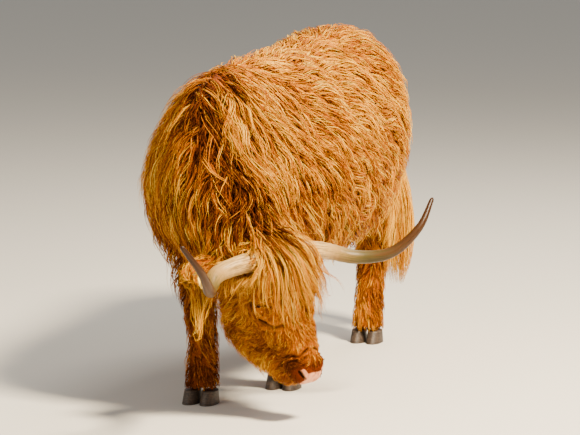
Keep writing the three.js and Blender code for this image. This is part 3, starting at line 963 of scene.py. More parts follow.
@dataclass
class Skin:
    """One hide over all the flesh, lying inside the solids by the coat's depth."""

    voxel: float = 8.6 * MM
    swell: float = 0.8 * MM  # closes the thin gaps between neighbouring solids
    depth_rounds: int = 70  # evens the coat's depth across the joins
    body_rounds: int = 45  # rounds the crests, which the coat's depth would else fold

    def build(self) -> Surface:
        """Builds the hide.

        Returns:
            Its surface, for the coat to grow on.
        """
        piece = self.cast()
        mesh = piece.data
        zones = self.nearest_zones(read_rows(mesh.vertices, "co", 3))
        self.refine(mesh, np.isin(zones, [ZONE_OF_NODE["head"], ZONE_OF_NODE["ear_left"]]))
        points = read_rows(mesh.vertices, "co", 3)
        zones = self.nearest_zones(points)
        edges = read_rows(mesh.edges, "vertices", 2, np.int32)
        points = relax(points, edges, 5)
        body = self.is_long_haired(zones)
        lids = np.exp(-((Face.eye_distance(points) / 0.04) ** 4))[:, None]
        body = np.maximum(relax(body, edges, 6), lids) * 0.5
        points = relax(points, edges, self.body_rounds, body)
        self.store(mesh, points)
        depth = relax(self.read_zones("depth", points, zones), edges, self.depth_rounds)[:, 0]
        points = points - read_rows(mesh.vertices, "normal", 3) * depth[:, None]
        points = relax(points, edges, 3)
        points = relax(points, edges, self.body_rounds // 3, body * (1 - lids))
        self.store(mesh, points)
        self.refine(mesh, self.near_eyes_and_nose(points))
        points = read_rows(mesh.vertices, "co", 3)
        zones = self.nearest_zones(points)
        masks = Face().masks(points) * (zones == ZONE_OF_NODE["head"])[:, None]
        points = Face().sculpt(points, read_rows(mesh.vertices, "normal", 3))
        self.store(mesh, points)
        self.unwrap(piece)
        self.paint(mesh, points, zones, masks)
        finish_piece(piece, HideFinish().material(), FLESH_NODES)
        return self.surface(mesh, zones)

    def cast(self) -> Object:
        """Joins swollen copies of the flesh and eye nodes and recasts them as one even mesh.

        Returns:
            The hide's object, not yet linked.
        """
        points, faces, count = [], [], 0
        for node in (*FLESH_NODES, "eye_left", "eye_right"):
            source = bmesh.new()
            source.from_mesh(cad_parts[node].data)
            bmesh.ops.remove_doubles(source, verts=source.verts, dist=1e-5)
            source.normal_update()
            points += [vertex.co + vertex.normal * self.swell for vertex in source.verts]
            faces += [[vertex.index + count for vertex in face.verts] for face in source.faces]
            count += len(source.verts)
            source.free()
        rough = bpy.data.meshes.new("rough_hide")
        rough.from_pydata(points, [], faces)
        holder = bpy.data.objects.new("rough_hide", rough)
        bpy.context.collection.objects.link(holder)
        recast = holder.modifiers.new("recast", "REMESH")
        recast.mode = "VOXEL"
        recast.voxel_size = self.voxel
        mesh = bpy.data.meshes.new_from_object(holder.evaluated_get(bpy.context.evaluated_depsgraph_get()))
        bpy.data.objects.remove(holder)
        self.keep_outside(mesh)
        return bpy.data.objects.new("hide", mesh)

    def keep_outside(self, mesh: Mesh) -> None:
        """Deletes the closed pockets that lie inside the recast body.

        Args:
            mesh: The recast mesh.
        """
        work = bmesh.new()
        work.from_mesh(mesh)
        front = {max(work.verts, key=lambda vertex: vertex.co.z)}
        outer = set(front)
        while front:
            front = {edge.other_vert(vertex) for vertex in front for edge in vertex.link_edges} - outer
            outer |= front
        inner = [vertex for vertex in work.verts if vertex not in outer]
        bmesh.ops.delete(work, geom=inner, context="VERTS")
        work.to_mesh(mesh)
        work.free()

    def store(self, mesh: Mesh, points: Array) -> None:
        """Writes points back to the mesh."""
        mesh.vertices.foreach_set("co", points.ravel())
        mesh.update()

    def nearest_zones(self, points: Array) -> Array:
        """Finds each point's zone from the flesh node nearest to it.

        Args:
            points: Points in the frame's axes.

        Returns:
            The zone's index for each point.
        """
        corners, faces, owners = [], [], []
        for node in FLESH_NODES:
            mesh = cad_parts[node].data
            start = len(corners)
            corners += [vertex.co[:] for vertex in mesh.vertices]
            faces += [[start + index for index in face.vertices] for face in mesh.polygons]
            owners += [ZONE_OF_NODE[node]] * len(mesh.polygons)
        find = BVHTree.FromPolygons(corners, faces).find_nearest
        owners = np.array(owners)
        return owners[[find(point)[2] for point in points.tolist()]]

    def refine(self, mesh: Mesh, chosen: Array) -> None:
        """Halves the edges that join chosen vertices.

        Args:
            mesh: The mesh.
            chosen: Whether each vertex is chosen.
        """
        work = bmesh.new()
        work.from_mesh(mesh)
        picked = [edge for edge in work.edges if all(chosen[vertex.index] for vertex in edge.verts)]
        bmesh.ops.subdivide_edges(work, edges=picked, cuts=1, use_grid_fill=True)
        work.to_mesh(mesh)
        work.free()

    def is_long_haired(self, zones: Array) -> Array:
        """Whether each zone is one of the long-haired ones."""
        return np.isin(zones, [list(Zone).index(zone) for zone in LONG_HAIRED])

    def read_zones(self, value: str, points: Array, zones: Array) -> Array:
        """Reads one value of the combs at points, each from its own zone.

        Args:
            value: The value's name in a reading.
            points: Points in the frame's axes.
            zones: Their zones.

        Returns:
            The value at each point.
        """
        values = np.zeros(len(points))
        for index, zone in enumerate(Zone):
            mine = zones == index
            values[mine] = getattr(read_combs(zone, points[mine]), value)
        return values

    def near_eyes_and_nose(self, points: Array) -> Array:
        """Whether each point is near enough to an eye or the nose to need the finest mesh."""
        by_nose = np.abs(moved(TO_HEAD, points) - [0, -0.375, 0]) < [0.1, 0.085, 0.2]
        return (Face.eye_distance(points) < 0.062) | by_nose.all(axis=1)

    def unwrap(self, piece: Object) -> None:
        """Links the hide and unwraps it by its own shape onto the bake map.

        Args:
            piece: The hide's object.
        """
        bpy.context.collection.objects.link(piece)
        bpy.context.view_layer.objects.active = piece
        piece.select_set(True)
        piece.data.uv_layers.new(name=BAKE_MAP)
        bpy.ops.object.mode_set(mode="EDIT")
        bpy.ops.mesh.select_all(action="SELECT")
        bpy.ops.uv.smart_project(angle_limit=math.radians(66), island_margin=0.001)
        bpy.ops.object.mode_set(mode="OBJECT")
        piece.select_set(False)

    def paint(self, mesh: Mesh, points: Array, zones: Array, masks: Array) -> None:
        """Stores the hide's markings: tone, bare nose, velvet and painted shade in the creases.

        Args:
            mesh: The hide's mesh.
            points: Its points.
            zones: Their zones.
            masks: Their bare nose, velvet and painted shade in the creases.
        """
        under = np.where(self.is_long_haired(zones), 0.1, 0.12)  # painted shade: darker than the locks above, for the hollows under them
        tone = self.read_zones("pale", points, zones) - under + Markings.patches(points)
        store_colours(mesh, "hide", np.column_stack([np.clip(tone, 0, 1), masks]))

    def surface(self, mesh: Mesh, zones: Array) -> Surface:
        """Gathers the hide's arrays.

        Args:
            mesh: The hide's mesh.
            zones: The zone of each vertex.

        Returns:
            The surface that the coat grows on.
        """
        mesh.calc_loop_triangles()
        triangles = read_rows(mesh.loop_triangles, "vertices", 3, np.int32)
        corners = read_rows(mesh.loop_triangles, "loops", 3, np.int32)
        uv = read_rows(mesh.uv_layers[BAKE_MAP].data, "uv", 2)
        points = read_rows(mesh.vertices, "co", 3)
        tree = BVHTree.FromPolygons(points.tolist(), triangles.tolist())
        return Surface(points, read_rows(mesh.vertices, "normal", 3), triangles, uv[corners], zones, tree)


class Crest:
    """The line along the top of the back and neck where the coat parts, in the cow's axes."""

    line_mm = (
        (0, 760, 1180),
        (0, 450, 1184),
        (0, 0, 1142),
        (0, -440, 1136),
        (2, -600, 1105),
        (25, -700, 1025),
        (54, -748, 946),
        (100, -770, 853),
        (160, -752, 780),
        (226, -722, 683),
        (262, -715, 597),
    )

    @classmethod
    def nearness(cls, points: Array, reach: float) -> Array:
        """How near points are to the line: 1 on it, and about a third at reach, in metres."""
        fine = moved(COW, curve_through(np.array(cls.line_mm) * MM, 120))
        return bell(span(points[:, None] - fine[None]).min(axis=1), reach)


class Markings:
    """The coat's patches of lighter and darker hair and its painted shadow over the neck, shared by the
    hide and the locks.
    """

    broad = Drift(0.34, SEED + 1)
    fine = Drift(0.11, SEED + 2)
    broad_depth = 0.055
    fine_depth = 0.075
    parting_shadow = 0.46  # painted shadow: how dark the coat is where it parts over the neck
    parting_reach = 0.045
    neck_start = (0.32, 0.44)  # forward of the cow's origin

    @classmethod
    def patches(cls, points: Array) -> Array:
        """Works out the coat's markings.

        Args:
            points: Points in the frame's axes.

        Returns:
            How much lighter or darker than its comb's tone the hair is at each, painted shadow included.
        """
        shade = cls.broad(points) * cls.broad_depth + cls.fine(points) * cls.fine_depth
        on_neck = smoothstep(*cls.neck_start, -moved(COW.inverted(), points)[:, 1])
        return shade - cls.parting_shadow * Crest.nearness(points, cls.parting_reach) * on_neck


class Face:
    """The folds of the face, in the head's axes: lids, nostrils, mouth and the wrinkles of the muzzle."""

    eye_centre = np.array([0.105, -0.150, -0.080])
    eye_radius = 0.018
    lid_middle = np.array([0.113, -0.158, -0.086])
    gaze = unit(np.array([0.80, -0.28, 0.53]))
    slant = np.array([0.12, 1.0, -0.30])  # of the lids' opening
    lid = 0.0032
    slit_half_length = 0.019
    slit_half_height = 0.0018
    slit_drop = 0.0045  # the lids meet below the eye's middle
    fold_height = 0.0125  # the crease above the upper lid
    pouch_height = -0.0155  # the crease below the lower lid
    mouth_height = -0.118  # at mouth_place, from where it rises forwards by mouth_slope
    mouth_place = -0.33
    mouth_slope = 0.08
    nostril_ends = (np.array([0.052, -0.380, -0.046]), np.array([0.035, -0.408, -0.050]))
    nostril_radius = 0.0066
    nostril_depth = 0.016
    nostril_inward = unit(np.array([-0.05, 0.75, -0.55]))
    swellings = (  # the middle, reach and height of the lips', the brow's and the nostril's
        ((0.050, -0.365, -0.085), 0.030, 0.0050),
        ((0.028, -0.395, -0.100), 0.024, 0.0040),
        ((0.088, -0.128, -0.012), 0.026, 0.0045),
        ((0.048, -0.378, -0.028), 0.018, 0.0035),
    )
    folds = (  # width of each, its depth that also sets the painted shade in it, and where it runs, in millimetres
        (8.5, 1, (
            (111, -121, -106), (107, -137, -112), (103, -158, -112), (100, -179, -101), (95, -199, -81),
        )),
        (6, 1.0, ((111, -118, -104), (122, -137, -76), (112, -145, -61), (98, -145, -41))),
        (4, 0.5, ((110, -94, -118), (113, -108, -92), (108, -119, -72))),
        (9, 0.8, ((98, -190, -88), (91, -209, -75), (83, -223, -56), (69, -225, -33))),
        (8, 0.6, ((84, -217, -118), (82, -231, -96), (80, -237, -67))),
        (6, 1, (
            (46, -338, -123), (61, -320, -83), (60, -322, -55),
            (47, -333, -35), (29, -324, -20), (13, -318, -15),
        )),
        (5, 1.0, ((60, -349, -89), (60, -338, -68), (58, -344, -39), (45, -347, -25), (26, -341, -23))),
        (5, 0.7, ((43, -355, -159), (48, -340, -137), (45, -329, -120))),
    )

    @classmethod
    def eye_distance(cls, points: Array) -> Array:
        """The distance of points in the frame's axes from the middle of the nearer eye."""
        return span(cls().folded(points)[0] - cls.eye_centre)

    def folded(self, points: Array) -> tuple[Array, Array]:
        """Mirrors the right half of the head onto the left.

        Args:
            points: Points in the frame's axes.

        Returns:
            The points in the head's axes, and the side that each lay on: 1 is the left.
        """
        local = moved(TO_HEAD, points)
        side = np.where(local[:, 0] < 0, -1.0, 1.0)
        local[:, 0] *= side
        return local, side

    def unfolded(self, local: Array, side: Array) -> Array:
        """The reverse of folded."""
        return moved(HEAD, np.column_stack([local[:, 0] * side, local[:, 1:]]))

    def eye_axes(self) -> tuple[Array, Array]:
        """Finds how the lids' opening lies.

        Returns:
            Its long axis and the direction of the upper lid.
        """
        lengthwise = unit(self.slant - self.gaze * float(self.slant @ self.gaze))
        upward = np.cross(lengthwise, self.gaze)
        return lengthwise, upward if upward[2] > 0 else -upward

    def sculpt(self, points: Array, normals: Array) -> Array:
        """Moves the hide's points into the folds of the face.

        Args:
            points: The hide's points.
            normals: Their normals.

        Returns:
            The moved points.
        """
        local, side = self.folded(points)
        facing = turned(TO_HEAD, normals)
        facing[:, 0] *= side
        local = self.close_lids(local)
        local = self.shape_muzzle(local, facing)
        local = self.open_nostrils(local)
        return self.unfolded(local, side)

    def close_lids(self, local: Array) -> Array:
        """Draws the hide over the eye as two lids with a narrow opening between them.

        Args:
            local: Folded points.

        Returns:
            The moved points.
        """
        offset = local - self.eye_centre
        aim = unit(offset)
        facing = aim @ self.gaze
        lengthwise, upward = self.eye_axes()
        along, height = offset @ lengthwise, offset @ upward
        share = smoothstep(0.05, 0.55, facing) * (span(offset) < 0.05)
        brim = np.sqrt(np.clip(1 - (along / self.slit_half_length) ** 2, 0, 1)) * self.slit_half_height
        inside = brim - np.abs(height - self.slit_height(along))
        opening = smoothstep(-0.0004, 0.0011, inside) * (brim > 0) * (facing > 0.3)
        rim = bell(inside, 0.0018) * (facing > 0.3) * (np.abs(along) < self.slit_half_length * 1.2)
        fold = bell(height - self.fold_height, 0.0016) * (np.abs(along) < 0.022) * (facing > 0.1)
        pouch = bell(height - self.pouch_height, 0.0018) * (np.abs(along) < 0.020) * (facing > 0.1)
        radius = self.eye_radius + self.lid + 0.0014 * rim - 0.0026 * fold - 0.0018 * pouch
        radius = radius * (1 - opening) + (self.eye_radius - 0.0045) * opening
        lids = self.eye_centre + aim * radius[:, None]
        return local * (1 - share[:, None]) + lids * share[:, None]

    def length_share(self, points: Array) -> Array:
        """Shortens the hair round the lids and the nose.

        Args:
            points: The hair's roots.

        Returns:
            The share of its full length that the hair has at each.
        """
        local, _ = self.folded(points)
        by_lids = smoothstep(0.028, 0.062, span(local - self.lid_middle))
        by_nose = smoothstep(-0.385, -0.355, local[:, 1]) + smoothstep(-0.075, -0.11, local[:, 2])
        return (0.25 + 0.75 * by_lids) * (0.45 + 0.55 * np.clip(by_nose, 0, 1))

    def over_lids(self, path: Array) -> Array:
        """Whether each strand hangs over the lids."""
        gap = span(self.folded(path.reshape(-1, 3))[0] - self.lid_middle)
        return gap.reshape(path.shape[:2]).min(axis=1) < 0.030

    def over_folds(self, path: Array) -> Array:
        """Whether each strand hangs over one of the folds."""
        return self.furrows(path.reshape(-1, 3)).reshape(path.shape[:2]).max(axis=1) > 0.5

    def furrows(self, points: Array) -> Array:
        """Finds the folds of the face.

        Args:
            points: Points in the frame's axes.

        Returns:
            How deep in a fold each is, from 0 to 1.
        """
        depth = np.zeros(len(points))
        local, _ = self.folded(points)
        near = np.flatnonzero((np.abs(local + [-0.09, 0.23, 0.08]) < [0.13, 0.18, 0.13]).all(axis=1))
        for width, depth_and_shade, line in self.folds:
            fine = curve_through(np.array(line) * MM, 24)
            gap = span(local[near, None] - fine[None]).min(axis=1)
            depth[near] = np.maximum(depth[near], depth_and_shade * bell(gap, width * MM))
        return depth

    def slit_height(self, along: Array) -> Array:
        """The height of the lids' meeting line, which sags in its middle."""
        return -self.slit_drop + 0.004 * (along / self.slit_half_length) ** 2

    def shape_muzzle(self, local: Array, facing: Array) -> Array:
        """Swells the lips, the brow and the lids, and sinks the folds and the mouth.

        Args:
            local: Folded points.
            facing: Their normals, folded too.

        Returns:
            The moved points.
        """
        push = np.zeros(len(local))
        for centre, reach, height in self.swellings:
            push += height * bell(span(local - centre), reach)
        push -= 0.007 * self.furrows(moved(HEAD, local))
        push += 0.003 * bell(span(local - self.lid_middle), 0.024)
        push -= 0.005 * bell(self.above_mouth(local), 0.005) * smoothstep(0.20, 0.26, -local[:, 1])
        return local + facing * push[:, None]

    def above_mouth(self, local: Array) -> Array:
        """How far folded points lie above the line of the mouth."""
        return local[:, 2] - self.mouth_height + self.mouth_slope * (local[:, 1] - self.mouth_place)

    def nostril_reach(self, local: Array) -> Array:
        """Measures the distance from the nostril, a comma that narrows forwards.

        Args:
            local: Folded points.

        Returns:
            The distances in radii of the nostril.
        """
        start, end = self.nostril_ends
        share = np.clip(((local - start) @ (end - start)) / float((end - start) @ (end - start)), 0, 1)
        gap = span(local - start - share[:, None] * (end - start))
        return gap / (self.nostril_radius * (1.15 - 0.4 * share))

    def open_nostrils(self, local: Array) -> Array:
        """Sinks the nostrils and raises a soft rim round each.

        Args:
            local: Folded points.

        Returns:
            The moved points.
        """
        reach = self.nostril_reach(local)
        sink = (1 - smoothstep(0.35, 1.0, reach)) * self.nostril_depth
        return local + self.nostril_inward * (sink - bell(reach - 1.25, 0.3) * 0.0018)[:, None]

    def masks(self, points: Array) -> Array:
        """Where the hide is bare nose, velvet, and painted shade in the creases.

        Args:
            points: The hide's points.

        Returns:
            Three columns from 0 to 1.
        """
        local, _ = self.folded(points)
        across, length, depth = local.T
        ahead = length - self.nostril_ends[1][1]
        slit = self.nostril_ends[1][0] + np.where(ahead > 0, 0.6, -1.3) * ahead
        edge = -0.394 + 0.019 * smoothstep(0.026, 0.045, across)
        nose = smoothstep(-0.0015, 0.0015, edge - length) * smoothstep(-0.0015, 0.001, slit - across)
        nose = nose * smoothstep(-0.112, -0.102, depth)
        velvet = smoothstep(-0.358, -0.378, length) * (1 - nose) * smoothstep(-0.085, -0.055, depth)
        nostril = 1 - smoothstep(0.6, 1.0, self.nostril_reach(local))
        lips = bell(self.above_mouth(local), 0.004) * smoothstep(0.28, 0.32, -length)
        # Painted shade in the nostrils, along the mouth, in the folds and on the lids.
        crease = nostril + 0.7 * lips + 1.1 * self.furrows(points) + self.lid_shade(local)
        return np.stack([nose, velvet, np.clip(crease, 0, 1)], axis=1)

    def lid_shade(self, local: Array) -> Array:
        """Paints shade on the lids, on their meeting line and in the fold above them, and a little round
        the eye.

        Args:
            local: Folded points.

        Returns:
            How dark each is, from 0.
        """
        offset = local - self.eye_centre
        distance = span(offset)
        lengthwise, upward = self.eye_axes()
        along, height = offset @ lengthwise, offset @ upward
        off_line = np.abs(height - self.slit_height(np.clip(along, -0.022, 0.022)))
        width = 0.0045 * np.sqrt(np.clip(1 - (along / 0.034) ** 2, 0, 1)) + 1e-5
        lined = (1 - smoothstep(0.5, 1.0, off_line / width)) * (offset @ self.gaze > 0.0)
        over = np.abs(height - self.fold_height + 4.0 * along**2)
        lined = np.maximum(lined, 0.8 * (1 - smoothstep(0.0008, 0.003, over)) * (np.abs(along) < 0.024))
        return 0.9 * lined * (distance < 0.045) + 0.3 * (1 - smoothstep(0.024, 0.036, distance))


# ---- Coat ----


@dataclass(frozen=True)
class Growth:
    """One layer of a zone's coat, with sizes in millimetres."""

    name: str
    spacing: float  # between clumps
    strands: int  # in each clump
    rings: int  # sections along a strand
    width: float  # of a strand at its widest
    length: float = 1.0  # against the comb's length
    low: float = 0.45  # the layer's lowest and highest courses, as shares of the coat's depth
    high: float = 1.0
    tone: float = -0.05  # added to the comb's tone
    wave: float = 0.75  # against the comb's wave
    clump: float = 0.55  # how far a clump's tips draw together
    frizz: float = 1.0
    wavelength: float = 150.0
    swirl: float = 0.3  # how far the lie wanders, in radians
    lift: float = 0.5  # steepness at the root
    blond: float = 0.3  # share of thin pale strands
    glow: float = 0.34  # how much paler those are
    mottle: float = 0.08  # how far clumps differ in tone
    stray: float = 18.0  # how far a clump may take its lie from, which closes the partings


# The under layers' lower tone is partly a darker undercoat and partly painted shade in the gaps between the
# outer locks.
GROWTH = {
    Zone.TRUNK: (
        Growth("under", 24, 2, 5, 9.6, 0.62, 0.15, 0.62, -0.12, 0.4, 0.3, swirl=0.3, blond=0.06),
        Growth("outer", 38, 5, 8, 4.3, wave=0.7, frizz=0.6, swirl=0.45, lift=0.25, glow=0.42, mottle=0.1),
    ),
    Zone.NECK: (
        Growth("under", 19, 2, 5, 8.5, 0.6, 0.15, 0.6, -0.14, 0.4, 0.3, blond=0.06),
        Growth("outer", 27.4, 6, 10, 4.0, tone=-0.05, swirl=0.25, blond=0.34, glow=0.42, mottle=0.14),
    ),
    Zone.LEGS: (
        Growth("under", 16, 2, 4, 7, 0.8, 0.2, 0.7, -0.12, 0.6, 0.2, 0.6, 60, stray=4, blond=0.08),
        Growth(
            "outer", 24, 4, 5, 3.4, 1.5, wave=0.5, frizz=0.5, wavelength=90,
            lift=0.25, blond=0.2, glow=0.24, stray=6,
        ),
    ),
    Zone.FACE: (
        Growth(
            "under", 7, 1, 4, 4.2, 1, 0.2, 0.7, -0.12, 0.6, 0.1, 0.5, 30,
            swirl=0.35, lift=0.3, blond=0.05, mottle=0.03, stray=2,
        ),
        Growth(
            "outer", 14, 4, 6, 2.3, 1.4, 0.4, 1.1, -0.05, 1.8, 0.88, 0.6, 52,
            swirl=0.8, lift=0.4, blond=0.22, glow=0.32, mottle=0.1, stray=3,
        ),
    ),
    Zone.EARS: (
        Growth("fringe", 13, 5, 6, 3.0, wavelength=60, stray=2),
        Growth(
            "tassels", 42, 6, 10, 2.4, 2.6, tone=0.2, wave=1.3, clump=0.8, wavelength=130,
            blond=0.5, glow=0.25,
        ),
    ),
    Zone.TAIL: (Growth("skirt", 17, 5, 6, 4.5, wavelength=90, stray=3),),
}


@dataclass
class Guides:
    """The middle line of each clump."""

    path: Array  # clump, ring, xyz
    up: Array
    pale: Array
    wave: Array
    depth: Array
    uv: Array


@dataclass
class Locks:
    """Finished strands, ready to be made solid."""

    path: Array
    up: Array
    width: Array  # widest width of each strand
    tone: Array
    uv: Array
    chance: Array
    patch_size: ClassVar[float] = 0.003  # of a strand on the bake map

    def chosen(self, mask: Array) -> Locks:
        """Only the strands that the mask picks."""
        return Locks(*(getattr(self, item.name)[mask] for item in fields(self)))

    def solid(self) -> MeshArrays:
        """Makes each strand a closed flattened prism that tapers to a point.

        Returns:
            The joined mesh, with the lock attribute and each strand's patch of the bake map.
        """
        count, rings = self.path.shape[:2]
        s = np.linspace(0, 1, rings)
        heading = unit(np.gradient(self.path, axis=1))
        across = unit(np.cross(heading, self.up))
        above = unit(np.cross(across, heading))
        profile = (0.55 + 0.45 * np.sin(np.clip(s * 2.2, 0, 1) * math.pi / 2)) * (1 - s**2.2)
        half = (self.width[:, None] * profile[None])[:, :-1, None] / 2
        body, across, above = (part[:, :-1] for part in (self.path, across, above))
        ring = np.stack([body - across * half, body + across * half, body + above * half * 0.75], axis=2)
        sections = rings - 1
        corners = np.concatenate([ring.reshape(count, sections * 3, 3), self.path[:, -1:]], axis=1)
        sides = ((0, 2), (2, 1), (1, 0))
        firsts = range(0, 3 * sections, 3)
        quads = [[r + a, r + b, r + 3 + b, r + 3 + a] for r in firsts[:-1] for a, b in sides]
        tris = [[firsts[-1] + a, firsts[-1] + b, 3 * sections] for a, b in sides] + [[0, 1, 2]]
        template = np.array([index for face in quads + tris for index in face])
        per_strand = 3 * sections + 1
        loops = (np.arange(count)[:, None] * per_strand + template).ravel()
        sizes = np.array([4] * len(quads) + [3] * len(tris))
        begin = np.concatenate([[0], np.cumsum(sizes)[:-1]])
        starts = (np.arange(count)[:, None] * len(template) + begin).ravel()
        along = np.append(np.repeat(s[:-1], 3), 1.0)
        beside = np.append(np.tile([0.0, 1.0, 0.5], sections), 0.5)
        lock = np.empty((count, per_strand, 4))
        for channel, value in enumerate((self.tone[:, None], along, beside, self.chance[:, None])):
            lock[..., channel] = value
        patch = np.stack([beside - 0.5, along - 0.5], axis=-1)[template] * self.patch_size
        uv = (self.uv[:, None] + patch[None]).reshape(-1, 2)
        return MeshArrays(corners.reshape(-1, 3), loops, starts, uv, {"lock": lock.reshape(-1, 4)})


@dataclass
class Coat:
    """The shaggy coat: clumps of strands that follow the combs over the hide."""

    surface: Surface
    triangle_limit: int = 190_000

    def __post_init__(self) -> None:
        """Measures the hide's triangles once, for even planting."""
        a, b, c = (self.surface.points[self.surface.triangles[:, i]] for i in range(3))
        self.area = span(np.cross(b - a, c - a)) / 2
        self.triangle_zone = self.surface.zones[self.surface.triangles[:, 0]]

    def roots(self, allowed: Array, spacing: float, seed: int) -> tuple[Array, Array, Array]:
        """Plants roots evenly over the chosen triangles.

        Args:
            allowed: Whether each triangle of the hide may carry roots.
            spacing: The distance between roots, in metres.
            seed: The random seed.

        Returns:
            The roots' points, normals and places on the bake map.
        """
        rng = np.random.default_rng(seed)
        picks = np.flatnonzero(allowed)
        area = self.area[picks]
        tries = int(area.sum() / spacing**2 * 6)
        chosen = picks[np.searchsorted(np.cumsum(area) / area.sum(), rng.random(tries))]
        u, v = rng.random((2, tries))
        over = u + v > 1
        u[over], v[over] = 1 - u[over], 1 - v[over]
        share = np.stack([1 - u - v, u, v], axis=1)[:, :, None]
        corners = self.surface.triangles[chosen]
        points = (self.surface.points[corners] * share).sum(axis=1)
        normals = unit((self.surface.normals[corners] * share).sum(axis=1))
        uv = (self.surface.triangle_uv[chosen] * share).sum(axis=1)
        cells = np.floor(points / (spacing * 1.12)).astype(np.int64)
        _, first = np.unique(cells @ np.array([1, 4001, 16_008_001]), return_index=True)
        return points[first], normals[first], uv[first]

    def comb_out(
        self, zone: Zone, growth: Growth, roots: Array, normals: Array, uv: Array, rng: np.random.Generator
    ) -> Guides:
        """Grows each clump's middle line step by step along the combs.

        Args:
            zone: The zone whose combs are followed.
            growth: How the zone's locks grow.
            roots: Where the clumps start.
            normals: The hide's normals there.
            uv: Their places on the bake map.
            rng: The random generator.

        Returns:
            The guides.
        """
        count = len(roots)
        stray = rng.normal(0, growth.stray * MM, (count, 3))
        if zone in LONG_HAIRED:  # hair crosses the parting both ways
            mixing = 0.11 if growth.name == "outer" else 0.05
            stray += rng.normal(0, mixing, (count, 3)) * Crest.nearness(roots, 0.09)[:, None]
        start = read_combs(zone, roots + stray)
        short = Face().length_share(roots)
        length = start.length * growth.length * rng.uniform(0.75, 1.2, count) * short
        layer = start.depth * rng.uniform(growth.low, growth.high, count) * short
        wander = Drift(0.17, SEED + 11)
        twist = wander(roots) * growth.swirl + rng.normal(0, 0.07, count)
        step = length / (growth.rings - 1)
        point, up = roots - normals * 0.003, normals
        heading = unit(start.lie - up * dot(start.lie, up) + up * growth.lift)
        path, ups = [point], [up]
        for ring in range(1, growth.rings):
            s = ring / (growth.rings - 1)
            reading = read_combs(zone, point + stray)
            hug = reading.hug[:, None]
            into = np.minimum(dot(reading.lie, up), 0)
            level = unit(reading.lie - up * (dot(reading.lie, up) * hug + into * (1 - hug)))
            side = np.cross(up, level)
            level = level * np.cos(twist)[:, None] + side * np.sin(twist)[:, None]
            heading = unit(heading * 0.35 + level * 0.65)
            ahead = point + heading * step[:, None]
            foot, up = self.surface.nearest(ahead)
            above = dot(ahead - foot, up)
            want = layer[:, None] * math.sin(min(1.0, s * 2.2) * math.pi / 2)
            height = np.maximum(above * (1 - hug) + want * hug, want * 0.5 + 0.001)
            point = foot + (ahead - foot - up * above) * (1 - hug) + up * height
            path.append(point)
            ups.append(up)
        tone, wave = start.pale + growth.tone, start.wave * growth.wave
        return Guides(np.stack(path, 1), np.stack(ups, 1), tone, wave, start.depth, uv)

    def strands(self, growth: Growth, guides: Guides, rng: np.random.Generator) -> Locks:
        """Fills each clump with strands round its middle line.

        Args:
            growth: How the locks grow.
            guides: The clumps' middle lines.
            rng: The random generator.

        Returns:
            The strands.
        """
        clumps, rings = guides.path.shape[:2]
        total = clumps * growth.strands
        mine = np.repeat(np.arange(clumps), growth.strands)
        s = np.linspace(0, 1, rings)
        reach = rng.uniform(0.68, 1.0, total)
        place = np.clip(s[None] * reach[:, None] * (rings - 1), 0, rings - 1.001)
        low = place.astype(int)
        t = (place - low)[..., None]
        path = guides.path[mine[:, None], low] * (1 - t) + guides.path[mine[:, None], low + 1] * t
        up = guides.up[mine[:, None], low] * (1 - t) + guides.up[mine[:, None], low + 1] * t
        heading = unit(np.gradient(path, axis=1))
        side = unit(np.cross(heading, up))
        angle = rng.uniform(0, 2 * math.pi, total)
        radius = np.sqrt(rng.random(total)) * growth.spacing * MM * 0.62
        spread = 1 - growth.clump * s[None] ** 0.9
        beside = (radius * np.cos(angle))[:, None] * spread
        along = (radius * np.sin(angle))[:, None] * (1 - 0.4 * s[None])
        layer = rng.uniform(-0.35, 0.25, total) * guides.depth[mine]
        layer = layer[:, None] * np.sin(s * math.pi * 0.75)
        length = span(np.diff(path, axis=1)).sum(axis=1)
        ripple = Drift(0.30, SEED + 21)
        phase = ripple(guides.path[:, 0])[mine] * 2.5 + rng.normal(0, 0.3, total)
        turns = (length / (growth.wavelength * MM))[:, None] * s[None] * 2 * math.pi
        swing, turns = guides.wave[mine][:, None], turns + phase[:, None]
        wave = swing * np.sin(turns) * s[None] ** 0.7
        curl = swing * 0.45 * np.cos(turns) * s[None] ** 0.7
        frizz = growth.frizz * MM * s[None]
        jitter = rng.normal(0, 1, (total, rings)) * frizz
        lift = rng.normal(0, 1, (total, rings)) * frizz * 0.6
        path = path + side * (beside + wave + jitter)[..., None]
        path = path + heading * along[..., None] + up * (layer + np.abs(curl) + lift)[..., None]
        highlight = rng.random(total) < growth.blond
        tone = guides.pale[mine] + Markings.patches(guides.path[:, 0])[mine]
        mottle = np.clip(rng.normal(0, growth.mottle, clumps), -2 * growth.mottle, 1.2 * growth.mottle)
        tone = tone + mottle[mine] + rng.normal(0, 0.06, total) + highlight * growth.glow
        # Painted shade darkens the locks over the folds of the face; the velvet round the nose is darker
        # hair.
        tone = tone * (1 - 0.85 * Face().furrows(path[:, 1])) - 0.12 * Face().masks(path[:, 1])[:, 1]
        width = growth.width * MM * rng.uniform(0.6, 1.2, total) * np.where(highlight, 0.65, 1.0)
        uv = np.clip(guides.uv[mine], 0.002, 0.998)
        return Locks(path, up, width, np.clip(tone, 0, 1), uv, rng.random(total))

    def grow(self, zone: Zone, growth: Growth) -> Locks:
        """Grows one layer of a zone's coat.

        Args:
            zone: The zone.
            growth: The layer.

        Returns:
            Its locks.
        """
        index = list(Zone).index(zone)
        seed = SEED + 100 * index + int(growth.spacing)
        rng = np.random.default_rng(seed)
        roots, normals, uv = self.roots(self.triangle_zone == index, growth.spacing * MM, seed + 7)
        keep = self.haired(zone, roots, growth.name == "under")
        guides = self.comb_out(zone, growth, roots[keep], normals[keep], uv[keep], rng)
        locks = self.strands(growth, guides, rng)
        if zone is Zone.FACE:
            locks = locks.chosen(~Face().over_folds(locks.path))
            if growth.name == "outer":
                locks = locks.chosen(~Face().over_lids(locks.path))
        return locks

